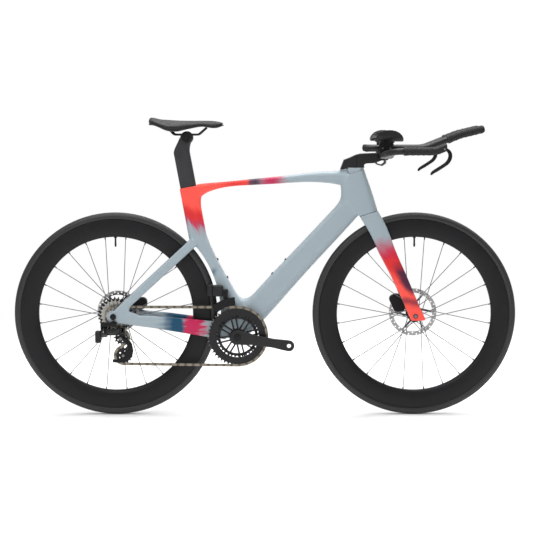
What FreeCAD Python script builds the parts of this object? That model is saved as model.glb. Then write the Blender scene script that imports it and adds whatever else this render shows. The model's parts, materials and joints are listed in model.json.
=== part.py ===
import FreeCAD, Part
import math
import os
import re
import Sketcher

# Time trial bicycle with disc brakes, two chainrings and twelve sprockets.
# Millimetres, +X forward, +Y to the rider's left, +Z up.
# The origin lies on the ground, midway between the wheels.

V = FreeCAD.Vector
SIDE = V(0, 1, 0)
UP = V(0, 0, 1)
FORWARD = V(1, 0, 0)
ORIGIN = V(0, 0, 0)

SIZES = {
    # layout of the bicycle
    "wheelbase": 995,
    "tyre_outer_radius": 339,
    "bb_drop": 69,
    "bb_setback": 90,
    "head_angle": 73,
    "fork_offset": 45,
    "fork_length": 366,
    "head_length": 145,
    "seat_top_setback": 254,
    "seat_top_height": 762.5,
    "seat_lean": 10.5,
    "moving_gap": 0.3,
    "running_gap": 0.06,
    "seat_gap": 0.05,
    "cut_overrun": 60,
    # main frame
    "head_nose": 28.5,
    "head_tail": 74,
    "head_half_width": 27,
    "down_tube_depth": 80,
    "down_tube_width": 54,
    "down_tube_rise": 9.6,
    "top_tube_depth": 42,
    "top_tube_width": 40,
    "seat_tube_depth": 59,
    "seat_tube_width": 36,
    "seat_sleeve_wall": 3,
    "seat_sleeve_flank": 5,
    "bb_shell_radius": 27,
    "bb_shell_width": 86.5,
    "bb_bore_radius": 20.5,
    "wheel_arch_gap": 12,
    "crown_sweep": 36.8,
    "steerer_bore_radius": 17,
    "upper_bearing_radius": 20.9,
    "lower_bearing_radius": 23.5,
    "headset_bearing_height": 7,
    "bottle_bolt_radius": 4.5,
    "bottle_bolt_height": 3,
    # stays and dropouts
    "stay_depth": 30,
    "stay_thickness": 14,
    "chainstay_depth": 56,
    "hub_rear_half": 71.3,
    "dropout_thickness": 8,
    "dropout_radius": 20,
    "axle_radius": 6,
    "hanger_drop": 22,
    "hanger_forward": 2,
    "hanger_radius": 10,
    "hanger_thickness": 7,
    "hanger_bolt_radius": 4.9,
    # seat post and saddle
    "post_depth": 53,
    "post_width": 24,
    "post_insertion": 95,
    "post_rise": 113,
    "post_head_rise": 57,
    "socket_length": 172,
    "clamp_height": 926,
    "clamp_setback": 258,
    "clamp_radius": 15,
    "clamp_width": 52,
    "post_head_radius": 21,
    "rail_radius": 3.5,
    "rail_lift": 10,
    "rail_half_spacing": 22,
    "rail_bend_radius": 14,
    "saddle_length": 245,
    "saddle_half_width": 66,
    "saddle_rear_setback": 381,
    "saddle_top_height": 979,
    "saddle_padding": 15,
    "saddle_skirt": 11,
    "saddle_shell_wall": 4,
    # fork
    "leg_depth": 52,
    "leg_half_thickness": 9,
    "hub_front_half": 50,
    "fork_arch_gap": 6,
    "fork_arch_half_width": 19.5,
    "steerer_radius": 14.3,
    "steerer_rise": 42,
    "fork_tip_radius": 18,
    "fork_tip_thickness": 13.5,
    "fork_tip_drop": 15,
    # cockpit
    "stem_base_height": 827,
    "stem_half_width": 22,
    "stem_seam_reach": 304,
    "stem_top_height": 876,
    "stem_front_reach": 411,
    "stem_rear_reach": 250,
    "stem_cover_base": 821,
    "cover_half_width": 24,
    "cover_front": 25,
    "cover_rear": 31,
    "cover_tongue": 3.6,
    "bar_reach": 398,
    "bar_height": 866,
    "bar_chord": 46,
    "bar_thickness": 19,
    "grip_reach": 443,
    "grip_half_spacing": 195,
    "grip_height": 884,
    "grip_length": 89,
    "grip_tube_radius": 11,
    "tape_thickness": 2,
    "hood_length": 47,
    "hood_rise": 12,
    "hood_radius": 13,
    "hood_slot": 9,
    "lever_pivot_radius": 2.5,
    "lever_width": 7.5,
    "lever_depth": 11,
    "lever_length": 78,
    "extension_half_spacing": 54,
    "extension_radius": 11.1,
    "extension_height": 891.5,
    "extension_rear": 332,
    "extension_tip": 714,
    "extension_rise": 63,
    "extension_bend_radius": 90,
    "mount_length": 46,
    "mount_wall": 4,
    "mount_reach": 398,
    "cup_length": 92,
    "cup_reach": 356,
    "cup_floor_height": 914,
    "cup_wall": 3,
    "cup_inner": 66,
    "cup_outer": 140,
    "cup_rise": 37,
    "pad_thickness": 10,
    "button_radius": 5.5,
    "button_height": 4,
    "button_travel": 1,
    "hose_radius": 2.5,
    "hose_drop": 22,
    "hose_bend_radius": 6,
    # wheels
    "tyre_section_radius": 14,
    "tyre_wall": 1.7,
    "rim_outer_radius": 316,
    "rim_depth": 59,
    "rim_half_width": 15,
    "bead_depth": 5,
    "spoke_width": 2.4,
    "spoke_thickness": 1.2,
    "spoke_count": 24,
    "spoke_cross": 60,
    "flange_radius": 21,
    "front_flange_left": 22,
    "front_flange_right": 33,
    "rear_flange_left": 34,
    "rear_flange_right": 16,
    "hub_shell_radius": 13,
    "hub_flange_thickness": 3,
    "hub_cap_radius": 9.6,
    "hub_end_radius": 12,
    "freehub_cap": 5,
    "rotor_boss_radius": 17,
    "axle_head_radius": 9.7,
    "front_axle_head_radius": 7,
    "axle_head_height": 3,
    "valve_radius": 3,
    "valve_length": 30,
    "rotor_thickness": 1.8,
    "rotor_track": 14,
    "front_rotor_radius": 80,
    "rear_rotor_radius": 70,
    "front_rotor_offset": 37,
    "rear_rotor_offset": 56.5,
    "rotor_arm_count": 6,
    "rotor_arm_width": 6,
    "rotor_hole_count": 18,
    "rotor_hole_radius": 2.6,
    "rotor_carrier_radius": 24,
    "caliper_length": 66,
    "caliper_depth": 38,
    "caliper_half_thickness": 12,
    "caliper_slot": 3.2,
    # drivetrain
    "chain_pitch": 12.7,
    "chain_line": 47.5,
    "chain_plate_height": 8.4,
    "chain_plate_thickness": 0.7,
    "chain_plate_gap": 0.05,
    "chain_inner_half": 1.1,
    "roller_radius": 3.8,
    "root_gap": 0.1,
    "root_half_width": 2.5,
    "tip_half_width": 0.9,
    "ring_teeth": 48,
    "inner_ring_teeth": 35,
    "ring_gap": 7,
    "ring_thickness": 1.7,
    "ring_band": 27,
    "inner_ring_band": 13,
    "ring_post_radius": 3,
    "tooth_height": 3,
    "spider_arm_count": 16,
    "spider_arm_width": 5.5,
    "spider_hub_radius": 27,
    "spider_thickness": 4,
    "spider_inner": 45,
    "spider_arm_lean": 5,
    "sprocket_pitch": 3.65,
    "sprocket_thickness": 1.6,
    "first_sprocket_offset": 62.1,
    "sprocket_hole_count": 6,
    "sprocket_hole_ring": 33,
    "sprocket_hole_radius": 7,
    "cassette_sleeve_radius": 16.4,
    "drive_sprocket_teeth": 14,
    "freehub_radius": 15.3,
    "crank_length": 172.5,
    "crank_half_width": 23,
    "crank_eye_radius": 17.5,
    "crank_outer": 75,
    "crank_inner": 60,
    "crank_droop": 9.6,
    "spindle_radius": 14.5,
    "pedal_hole_radius": 7.14,
    "pedal_washer_radius": 10.5,
    "pedal_washer_depth": 1,
    "upper_pulley_teeth": 12,
    "lower_pulley_teeth": 14,
    "pulley_forward": 23.5,
    "pulley_drop": 73,
    "pulley_distance": 60,
    "pulley_thickness": 1.6,
    "pulley_tooth_height": 2.2,
    "pulley_hub_radius": 8,
    "pulley_hole_count": 5,
    "pulley_hole_ring": 13.5,
    "pulley_hole_radius": 3,
    "cage_lean_least": -4,
    "cage_lean_most": 24,
    "pulley_bore_radius": 4,
    "cage_plate_thickness": 2,
    "cage_half_gap": 6,
    "cage_end_radius": 11,
    "cage_boss_inner": 57,
    "cage_boss_outer": 78,
    "cage_boss_radius": 8,
    "link_length": 52,
    "link_spacing": 14,
    "link_thickness": 6,
    "link_height": 16,
    "link_pin_radius": 2.5,
    "link_end_radius": 5,
    "link_slant": 60,
    "link_setback": 26.5,
    "link_offset": 82,
    "link_drop": 47,
    "ear_radius": 7,
    "ear_thickness": 5,
    "ear_reach": 14,
    "bridge_height": 14,
    "knuckle_thickness": 10.5,
    "battery_width": 24,
    "battery_depth": 18,
    "battery_height": 38,
    "battery_offset": 45,
    "fd_cage_half_gap": 6.5,
    "fd_plate_thickness": 2,
    "fd_pivot_height": 150,
    "fd_hinge_offset": 39,
    "fd_bracket_setback": 32,
    "fd_bracket_length": 16,
    "fd_bracket_half": 7,
    "fd_bracket_foot": 6,
    "fd_pin_radius": 3,
    "fd_cage_inner": 104,
    "fd_cage_outer": 130,
    "fd_cage_first": 94,
    "fd_cage_last": 131,
    "fd_bridge_first": 97,
    "fd_bridge_last": 118,
    "fd_body_length": 34,
    "fd_body_height": 36,
    "fd_body_inner": 22,
}

doc = FreeCAD.newDocument("TimeTrialBicycle")
sheet = doc.addObject("Spreadsheet::Sheet", "Sizes")
for row, (size_name, size_value) in enumerate(SIZES.items(), 1):
    sheet.set("A%d" % row, size_name)
    sheet.set("B%d" % row, str(size_value))
    sheet.setAlias("B%d" % row, size_name)
doc.recompute()


class SheetSizes:
    """Reads a named size from the sheet."""

    def __getattr__(self, name):
        return float(sheet.get(name))


s = SheetSizes()


# Layout points

AXLE_HEIGHT = s.tyre_outer_radius
REAR_AXLE = V(-s.wheelbase / 2, 0, AXLE_HEIGHT)
FRONT_AXLE = V(s.wheelbase / 2, 0, AXLE_HEIGHT)
BOTTOM_BRACKET = V(-s.bb_setback, 0, AXLE_HEIGHT - s.bb_drop)
SEAT_TOP = V(-s.seat_top_setback, 0, s.seat_top_height)
HEAD_TURN = math.radians(s.head_angle)
STEER_UP = V(-math.cos(HEAD_TURN), 0, math.sin(HEAD_TURN))
STEER_FRONT = V(math.sin(HEAD_TURN), 0, math.cos(HEAD_TURN))
STEER_FOOT = FRONT_AXLE - STEER_FRONT * s.fork_offset
SEAT_TURN = math.radians(s.seat_lean)
SEAT_UP = V(-math.sin(SEAT_TURN), 0, math.cos(SEAT_TURN))
SEAT_FRONT = V(math.cos(SEAT_TURN), 0, math.sin(SEAT_TURN))


def steer_point(distance):
    """Point on the steering axis, that far up from beside the front axle."""
    return STEER_FOOT + STEER_UP * distance


CROWN = s.fork_length
HEAD_TOP = s.fork_length + s.head_length


# Sketches bound to the sheet


def bound(text):
    """The same sum, with its sizes read from the sheet."""
    return re.sub(r"[a-z][a-z_]*", r"Sizes.\g<0>", text)


def number(text):
    return float(sheet.evalExpression(text))


def new_body(label):
    body = doc.addObject("PartDesign::Body", label)
    body.Label = label
    return body


def sketch_on(body, role):
    sketch = body.newObject("Sketcher::SketchObject", body.Name + "_sketch")
    plane = [item for item in body.Origin.OriginFeatures if item.Role == role][0]
    sketch.AttachmentSupport = (plane, [""])
    sketch.MapMode = "FlatFace"
    return sketch


def dimension(sketch, kind, where, text):
    index = sketch.addConstraint(Sketcher.Constraint(kind, *where, number(text)))
    sketch.setExpression("Constraints[%d]" % index, bound(text))


def arc_between(start, end, radius):
    """The short arc from start to end, turning left, or right for a radius below 0."""
    chord = end - start
    left = V(-chord.y, chord.x, 0).normalize() * math.copysign(1, radius)
    rise = math.sqrt(radius * radius - chord.Length * chord.Length / 4)
    centre = (start + end) / 2 + left * rise
    return Part.Arc(start, centre - left * abs(radius), end)


def draw_loop(sketch, points):
    """Closed loop of named points. A third value makes the next edge an arc of that radius."""
    ends = [(2, 1) if len(point) == 3 and number(point[2]) < 0 else (1, 2) for point in points]
    first = sketch.GeometryCount
    count = len(points)
    spots = [V(number(point[0]), number(point[1]), 0) for point in points]
    for index, point in enumerate(points):
        start, end = spots[index], spots[(index + 1) % count]
        if len(point) == 2:
            sketch.addGeometry(Part.LineSegment(start, end), False)
        else:
            sketch.addGeometry(arc_between(start, end, number(point[2])), False)
    for index, point in enumerate(points):
        before = (index - 1) % count
        start = ends[index][0]
        sketch.addConstraint(
            Sketcher.Constraint("Coincident", first + before, ends[before][1], first + index, start)
        )
        dimension(sketch, "DistanceX", (-1, 1, first + index, start), point[0])
        dimension(sketch, "DistanceY", (-1, 1, first + index, start), point[1])
        if len(point) == 3:
            dimension(sketch, "Radius", (first + index,), point[2].lstrip("-"))


def draw_circle(sketch, x_text, y_text, radius_text):
    centre = V(number(x_text), number(y_text), 0)
    index = sketch.addGeometry(Part.Circle(centre, V(0, 0, 1), number(radius_text)), False)
    dimension(sketch, "DistanceX", (-1, 1, index, 3), x_text)
    dimension(sketch, "DistanceY", (-1, 1, index, 3), y_text)
    dimension(sketch, "Radius", (index,), radius_text)


def place(item, x_text, y_text, z_text):
    """Bind an object's place to the sheet."""
    for axis, text in zip("xyz", (x_text, y_text, z_text)):
        item.setExpression("Placement.Base." + axis, bound(text))


def revolved(label, loops, x_text, y_text, z_text):
    """Body turned about the Y axis. Loop points are (radius, along Y)."""
    body = new_body(label)
    sketch = sketch_on(body, "XY_Plane")
    for loop in loops:
        draw_loop(sketch, loop)
    turn = body.newObject("PartDesign::Revolution", label + "_turn")
    turn.Profile = sketch
    turn.ReferenceAxis = (sketch, ["V_Axis"])
    turn.Angle = 360
    place(body, x_text, y_text, z_text)
    return body


REAR_PLACE = ("-wheelbase / 2", "0", "tyre_outer_radius")
FRONT_PLACE = ("wheelbase / 2", "0", "tyre_outer_radius")
BB_PLACE = ("-bb_setback", "0", "tyre_outer_radius - bb_drop")


# Solids from Part's functions


def kamm_section(centre, front, side, half_depth, half_width, nose_share, tail_share):
    """Wire of a tube section with a round nose and a blunter tail."""
    least = min(half_depth, half_width)
    nose, tail = nose_share * least, tail_share * least
    diagonal = math.sqrt(0.5)

    def at(forward, across):
        return centre + front * forward + side * across

    edges = []
    corners = ((1, 1, nose), (-1, 1, tail), (-1, -1, tail), (1, -1, nose))
    spans = []
    for fore, flank, radius in corners:
        middle = at(
            fore * (half_depth - radius + radius * diagonal),
            flank * (half_width - radius + radius * diagonal),
        )
        on_end = at(fore * half_depth, flank * (half_width - radius))
        on_flank = at(fore * (half_depth - radius), flank * half_width)
        spans.append((on_end, middle, on_flank) if fore == flank else (on_flank, middle, on_end))
    for index, (start, middle, end) in enumerate(spans):
        edges.append(Part.Arc(start, middle, end).toShape())
        edges.append(Part.LineSegment(end, spans[(index + 1) % len(spans)][0]).toShape())
    return Part.Wire(edges)


def lofted(wires):
    return Part.makeLoft(wires, True, False)


def mirrored(shape):
    return shape.mirror(ORIGIN, SIDE)


def largest(shape):
    return max(shape.Solids, key=lambda solid: solid.Volume)


def both_sides(shape):
    return Part.makeCompound([shape, mirrored(shape)])


def rod(start, end, radius):
    run = end - start
    return Part.makeCylinder(radius, run.Length, start, run)


def ring(start, end, outer, inner):
    return rod(start, end, outer).cut(rod(start, end, inner))


def outward(solid):
    """The same solid with its faces looking out."""
    if solid.Volume < 0:
        solid.reverse()
    return solid


def extruded(points, start_y, end_y):
    """Prism of an outline in the XZ plane, between two Y places."""
    corners = [V(point[0], start_y, point[1]) for point in points]
    face = Part.Face(Part.makePolygon(corners + corners[:1]))
    return outward(face.extrude(V(0, end_y - start_y, 0)))


nodes = []


def add_feature(label, shape):
    item = doc.addObject("Part::Feature", label)
    nodes.append(item)
    item.Label = label
    item.Shape = shape
    item.Placement = FreeCAD.Placement()
    return item


def lerp(start, end, share):
    return start + (end - start) * share


# Main frame

# along the head tube: nose, tail and width
HEAD_SHARES = (
    (0.0, 1.0, 0.47, 1.0),
    (0.3, 1.0, 0.84, 0.98),
    (0.5, 0.98, 0.93, 0.95),
    (0.72, 0.93, 0.87, 0.92),
    (1.0, 0.88, 0.46, 0.92),
)
# along the down tube from the bottom bracket: lift, depth and width
DOWN_SHARES = (
    (0.0, 0.0, 0.84, 1.2),
    (0.12, 0.0, 1.0, 1.16),
    (0.3, 0.02, 1.03, 1.02),
    (0.55, 0.02, 0.97, 0.94),
    (0.8, 0.0, 0.95, 0.88),
    (0.94, 0.0, 0.9, 0.72),
)
DOWN_MEETS_SHARE = 0.475
# roundness of the nose and the tail of each tube
HEAD_ROUND_SHARES = (0.94, 0.5)
DOWN_ROUND_SHARES = (0.85, 0.55)
TOP_ROUND_SHARES = (0.7, 0.7)
SEAT_ROUND_SHARES = (0.9, 0.5)
POST_ROUND_SHARES = (0.92, 0.6)
STAY_ROUND_SHARES = (0.9, 0.8)
LEG_ROUND_SHARES = (0.9, 0.7)
# corner fill over the bottom bracket, between the seat tube and the down tube
GUSSET_SHARES = ((-0.127, 2.153), (0.186, 1.856), (0.746, 1.856), (1.1, 2.22), (1.1, 1.186), (-0.12, 1.186))
GUSSET_WIDTH_SHARE = 0.5
# along the top tube from the seat tube: lift, depth and width
TOP_SHARES = (
    (0.0, -0.45, 1.05, 0.72),
    (0.098, -0.19, 0.74, 0.76),
    (0.187, -0.05, 0.47, 0.82),
    (0.306, 0.0, 0.41, 0.88),
    (0.425, 0.0, 0.49, 0.94),
    (0.578, 0.0, 0.57, 1.0),
    (0.743, 0.0, 0.77, 1.06),
    (0.852, -0.12, 0.95, 1.1),
    (0.97, -0.14, 0.84, 1.0),
)
TOP_MEETS_SHARE = 0.94
# up the seat tube from the bottom bracket: front, rear and width
SEAT_SHARES = (
    (-0.016, 0.42, 0.64, 1.8),
    (0.122, 0.85, 0.68, 1.85),
    (0.246, 0.73, 0.6, 1.5),
    (0.38, 0.49, 0.55, 1.2),
    (0.481, 0.308, 0.62, 1.08),
    (0.56, 0.193, 0.85, 1.0),
    (0.629, 0.13, 0.93, 0.96),
    (0.72, 0.16, 0.8, 0.9),
)


def tube(start, end, depth, width, rows, round_shares, nose_down):
    """Loft of sections square to a straight line, each (along, lift, depth, width)."""
    along = (end - start).normalize()
    up = along.cross(SIDE)
    front = up * -1 if nose_down else up
    wires = []
    for share, lift, deep, wide in rows:
        centre = lerp(start, end, share) + up * (lift * depth)
        wires.append(
            kamm_section(centre, front, SIDE, deep * depth / 2, wide * width / 2, *round_shares)
        )
    return lofted(wires)


def head_tube():
    wires = []
    low, high = CROWN + s.moving_gap, HEAD_TOP
    for share, nose, tail, wide in HEAD_SHARES:
        fore, aft = nose * s.head_nose, tail * s.head_tail
        centre = steer_point(lerp(low, high, share)) + STEER_FRONT * ((fore - aft) / 2)
        wires.append(
            kamm_section(
                centre, STEER_FRONT, SIDE, (fore + aft) / 2, wide * s.head_half_width, *HEAD_ROUND_SHARES
            )
        )
    return lofted(wires)


def seat_tube():
    wires = []
    for share, front, rear, wide in SEAT_SHARES:
        centre = lerp(BOTTOM_BRACKET, SEAT_TOP, share)
        fore, aft = front * s.seat_tube_depth, rear * s.seat_tube_depth
        wires.append(
            kamm_section(
                centre + FORWARD * ((fore - aft) / 2),
                FORWARD,
                SIDE,
                (fore + aft) / 2,
                wide * s.seat_tube_width / 2,
                *SEAT_ROUND_SHARES,
            )
        )
    return lofted(wires)


def down_tube():
    meets = steer_point(lerp(CROWN, HEAD_TOP, DOWN_MEETS_SHARE))
    square = (meets - BOTTOM_BRACKET).normalize().cross(SIDE)
    start = BOTTOM_BRACKET + square * s.down_tube_rise
    return tube(start, meets, s.down_tube_depth, s.down_tube_width, DOWN_SHARES, DOWN_ROUND_SHARES, True)


def top_tube():
    meets = steer_point(lerp(CROWN, HEAD_TOP, TOP_MEETS_SHARE))
    return tube(SEAT_TOP, meets, s.top_tube_depth, s.top_tube_width, TOP_SHARES, TOP_ROUND_SHARES, False)


def post_section(distance, wall, flank):
    """Seat post section grown by a wall, that far up the seat axis from the frame's top."""
    return kamm_section(
        SEAT_TOP + SEAT_UP * distance,
        SEAT_FRONT,
        SIDE,
        s.post_depth / 2 + wall,
        s.post_width / 2 + flank,
        *POST_ROUND_SHARES,
    )


def seat_sleeve():
    """Upper seat tube, which the seat post slides in."""
    wall, flank = s.seat_sleeve_wall, s.seat_sleeve_flank
    return lofted([post_section(-s.socket_length, wall, flank), post_section(s.post_width, wall, flank)])


def seat_trim():
    """What the seat tube loses above its sloping top edge."""
    width = s.seat_tube_depth + s.top_tube_depth
    block = Part.makeBox(s.seat_tube_depth * 2, width, s.cut_overrun)
    block.translate(V(-s.seat_tube_depth * 2 + s.post_depth / 2 + s.seat_sleeve_wall, -width / 2, 0))
    block.Placement = FreeCAD.Placement(SEAT_TOP, FreeCAD.Rotation(FORWARD, SEAT_FRONT)) * block.Placement
    return block


def gusset():
    unit = s.seat_tube_depth
    outline = [(BOTTOM_BRACKET.x + x * unit, BOTTOM_BRACKET.z + z * unit) for x, z in GUSSET_SHARES]
    half = s.seat_tube_width * GUSSET_WIDTH_SHARE
    return extruded(outline, -half, half)


def main_frame():
    shape = head_tube().fuse([down_tube(), top_tube(), seat_tube(), seat_sleeve(), gusset()])
    half = SIDE * (s.bb_shell_width / 2)
    shape = shape.fuse(rod(BOTTOM_BRACKET - half, BOTTOM_BRACKET + half, s.bb_shell_radius))
    arch = SIDE * s.cut_overrun
    shape = shape.cut(rod(REAR_AXLE - arch, REAR_AXLE + arch, s.tyre_outer_radius + s.wheel_arch_gap))
    beneath = steer_point(CROWN - s.cut_overrun)
    above = steer_point(HEAD_TOP + s.cut_overrun)
    shape = shape.cut(rod(beneath, steer_point(CROWN + s.moving_gap), s.crown_sweep))
    shape = shape.cut(rod(steer_point(HEAD_TOP), above, s.crown_sweep))
    shape = shape.cut(rod(beneath, above, s.steerer_bore_radius))
    height = s.headset_bearing_height
    shape = shape.cut(rod(beneath, steer_point(CROWN + height), s.lower_bearing_radius))
    shape = shape.cut(rod(steer_point(HEAD_TOP - height), above, s.upper_bearing_radius))
    shape = shape.cut(rod(BOTTOM_BRACKET - half * 2, BOTTOM_BRACKET + half * 2, s.bb_bore_radius))
    shape = shape.cut(seat_trim())
    gap = s.moving_gap
    socket = lofted([post_section(-s.socket_length, gap, gap), post_section(s.cut_overrun, gap, gap)])
    return shape.cut(socket)


def frame_bearings():
    """Two headset bearings and two bottom bracket cups."""
    inner = s.steerer_radius + s.running_gap
    low, high = CROWN + s.moving_gap, HEAD_TOP - s.headset_bearing_height
    low_top = steer_point(CROWN + s.headset_bearing_height)
    lower = ring(steer_point(low), low_top, s.lower_bearing_radius, inner)
    upper = ring(steer_point(high), steer_point(HEAD_TOP), s.upper_bearing_radius, inner)
    edge = SIDE * (s.bb_shell_width / 2)
    deep = SIDE * (s.bb_shell_width / 2 - s.headset_bearing_height * 2)
    bearing = ring(
        BOTTOM_BRACKET + deep, BOTTOM_BRACKET + edge, s.bb_bore_radius, s.spindle_radius + s.running_gap
    )
    return Part.makeCompound([lower, upper, bearing, mirrored(bearing)])


frame_shape = main_frame()
add_feature("main_frame", frame_shape)
add_feature("frame_bearings", frame_bearings())

# Stays

# along the chainstay: height above the line, half spacing, depth and thickness
CHAINSTAY_SHARES = (
    (0.0, -0.02, 0.0, 1.0, 1.14),
    (0.14, 0.0, 0.14, 0.98, 1.07),
    (0.3, 0.02, 0.3, 0.92, 1.0),
    (0.56, 0.05, 0.56, 0.78, 1.0),
    (0.85, 0.03, 0.86, 0.6, 0.9),
    (1.0, 0.02, 1.0, 0.52, 0.6),
)
CHAINSTAY_START_SHARE = 0.09
CHAINSTAY_SPREAD_SHARES = (0.3, 1.05)
CHAINSTAY_RISE_SHARE = 0.14
CHAINSTAY_END_SHARES = (0.7, 0.4)
HUB_ROOM_SHARE = 1.3
# corner web between the stays, forward and up from the axle over the dropout's radius
WEB_SHARES = ((0.6, 0.3), (3.0, 2.5), (2.55, 0.85), (4.1, 0.3), (0.9, -0.2))
WEB_SPACING_SHARES = (0.926, 1.02)
# along the seatstay: half spacing, depth and thickness
SEATSTAY_SHARES = (
    (0.0, 0.31, 1.0, 1.0),
    (0.09, 0.38, 1.0, 1.0),
    (0.25, 0.47, 1.0, 0.95),
    (0.56, 0.68, 0.97, 0.9),
    (0.82, 0.9, 0.92, 0.85),
    (0.97, 1.05, 0.85, 0.6),
)
SEATSTAY_TOP_SHARE = 0.63
SEATSTAY_SETBACK_SHARE = 0.72
SEATSTAY_END_SHARE = 0.5


def chainstay():
    """Left chainstay with its dropout."""
    run = REAR_AXLE - BOTTOM_BRACKET
    start = BOTTOM_BRACKET + run * CHAINSTAY_START_SHARE + UP * (s.chainstay_depth * CHAINSTAY_RISE_SHARE)
    end_forward, end_down = CHAINSTAY_END_SHARES
    end = REAR_AXLE + FORWARD * (s.dropout_radius * end_forward) - UP * (s.dropout_radius * end_down)
    along = (end - start).normalize()
    up = along.cross(SIDE) * -1
    wires = []
    for share, lift, spread, deep, thick in CHAINSTAY_SHARES:
        half_spacing = s.hub_rear_half * lerp(*CHAINSTAY_SPREAD_SHARES, spread)
        centre = lerp(start, end, share) + up * (lift * s.chainstay_depth) + SIDE * half_spacing
        wires.append(
            kamm_section(
                centre, up, SIDE, deep * s.chainstay_depth / 2, thick * s.stay_thickness / 2,
                *STAY_ROUND_SHARES,
            )
        )
    inside = REAR_AXLE + SIDE * s.hub_rear_half
    plate = rod(inside, inside + SIDE * s.dropout_thickness, s.dropout_radius)
    shape = lofted(wires).fuse(plate)
    hub_room = rod(REAR_AXLE, inside, s.dropout_radius * HUB_ROOM_SHARE)
    hole = rod(inside - SIDE * s.cut_overrun, inside + SIDE * s.cut_overrun, s.axle_radius + s.seat_gap)
    return shape.cut(hub_room).cut(hole)


def seatstay(frame, stay):
    """Left seatstay, from the seat tube to the dropout, with a corner web to the chainstay."""
    setback = FORWARD * (s.seat_tube_depth * SEATSTAY_SETBACK_SHARE)
    start = lerp(BOTTOM_BRACKET, SEAT_TOP, SEATSTAY_TOP_SHARE) - setback
    end = REAR_AXLE + (start - REAR_AXLE).normalize() * (s.dropout_radius * SEATSTAY_END_SHARE)
    along = (end - start).normalize()
    up = along.cross(SIDE) * -1
    wires = []
    for share, spread, deep, thick in SEATSTAY_SHARES:
        centre = lerp(start, end, share) + SIDE * (spread * s.hub_rear_half)
        wires.append(
            kamm_section(
                centre, up, SIDE, deep * s.stay_depth / 2, thick * s.stay_thickness / 2,
                *STAY_ROUND_SHARES,
            )
        )
    inside = REAR_AXLE + SIDE * s.hub_rear_half
    hub_room = rod(REAR_AXLE, inside, s.dropout_radius * HUB_ROOM_SHARE)
    unit = s.dropout_radius
    outline = [(REAR_AXLE.x + x * unit, REAR_AXLE.z + z * unit) for x, z in WEB_SHARES]
    web = extruded(outline, *[share * s.hub_rear_half for share in WEB_SPACING_SHARES]).cut(hub_room)
    return largest(lofted(wires).cut(hub_room).cut(frame)).fuse(web).cut(stay)


left_chainstay = largest(chainstay().cut(frame_shape))
left_seatstay = largest(seatstay(frame_shape, left_chainstay))
add_feature("chainstays", both_sides(left_chainstay))
add_feature("seatstays", both_sides(left_seatstay))

# Fork

# down a leg from the crown: half spacing, thickness, depth and forward shift
LEG_SHARES = (
    (-0.06, 0.28, 1.5, 1.19, 0.0),
    (0.02, 0.31, 1.42, 1.18, 0.02),
    (0.15, 0.55, 1.14, 1.14, 0.09),
    (0.38, 0.72, 0.95, 1.0, 0.04),
    (0.6, 0.87, 0.87, 0.88, 0.045),
    (0.76, 0.98, 0.83, 0.85, 0.015),
    (1.0, 1.14, 0.78, 0.86, -0.05),
    (1.06, 1.17, 0.78, 0.86, -0.06),
)
CROWN_SET_BACK_SHARE = 0.045
TIP_FORWARD_SHARE = 0.35
TIP_THICKNESS_SHARE = 1.5


def leg_line():
    """The line that the fork legs follow, and the way that their noses face."""
    top = steer_point(CROWN) - STEER_FRONT * (s.head_tail * CROWN_SET_BACK_SHARE)
    end = FRONT_AXLE + FORWARD * (s.fork_tip_radius * TIP_FORWARD_SHARE)
    return top, end, SIDE.cross((end - top).normalize()) * -1


def fork_leg():
    """Left leg, cut level below the axle."""
    top, end, front = leg_line()
    wires = []
    for share, spread, thick, deep, fore in LEG_SHARES:
        centre = lerp(top, end, share) + SIDE * (spread * s.hub_front_half) + front * (fore * s.leg_depth)
        wires.append(
            kamm_section(
                centre, front, SIDE, deep * s.leg_depth / 2, thick * s.leg_half_thickness, *LEG_ROUND_SHARES
            )
        )
    inside = FRONT_AXLE + SIDE * s.hub_front_half
    tip = rod(inside, inside + SIDE * (s.leg_half_thickness * TIP_THICKNESS_SHARE), s.fork_tip_radius)
    room = rod(FRONT_AXLE, inside, s.fork_tip_radius * TIP_THICKNESS_SHARE)
    hole = rod(inside - SIDE * s.cut_overrun, inside + SIDE * s.cut_overrun, s.axle_radius + s.seat_gap)
    outside = inside + SIDE * s.fork_tip_thickness
    recess = rod(outside, outside + SIDE * s.cut_overrun, s.axle_head_radius)
    reach = s.cut_overrun
    under = Part.makeBox(
        reach * 2, reach * 2, reach, FRONT_AXLE + V(-reach, 0, -s.fork_tip_drop - reach)
    )
    shape = lofted(wires).fuse(tip).cut(room).cut(hole)
    return shape.cut(recess).cut(under)


def crown_block():
    """What joins the legs over the wheel."""
    top, end, front = leg_line()
    wires = []
    for share, spread, thick, deep, fore in LEG_SHARES[:3]:
        centre = lerp(top, end, share) + front * (fore * s.leg_depth)
        wires.append(
            kamm_section(
                centre, front, SIDE, deep * s.leg_depth / 2, s.fork_arch_half_width, *LEG_ROUND_SHARES
            )
        )
    return lofted(wires)


def fork():
    arch = SIDE * s.fork_arch_half_width
    wheel_room = rod(FRONT_AXLE - arch, FRONT_AXLE + arch, s.tyre_outer_radius + s.fork_arch_gap)
    leg = fork_leg()
    foot = steer_point(CROWN - s.moving_gap)
    over = rod(foot, foot + STEER_UP * s.cut_overrun, s.head_tail + s.cut_overrun)
    shape = leg.fuse([mirrored(leg), crown_block()]).cut(wheel_room).cut(over)
    return shape.fuse(rod(foot, steer_point(HEAD_TOP + s.steerer_rise), s.steerer_radius))


fork_shape = fork()
add_feature("fork", fork_shape)

# Seat post and saddle


# up the post head: forward shift and depth
POST_HEAD_SHARES = (
    (0.26, 0.06, 0.99),
    (0.42, 0.15, 0.955),
    (0.62, 0.29, 0.92),
    (0.8, 0.41, 0.885),
    (0.9, 0.46, 0.86),
)


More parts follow.
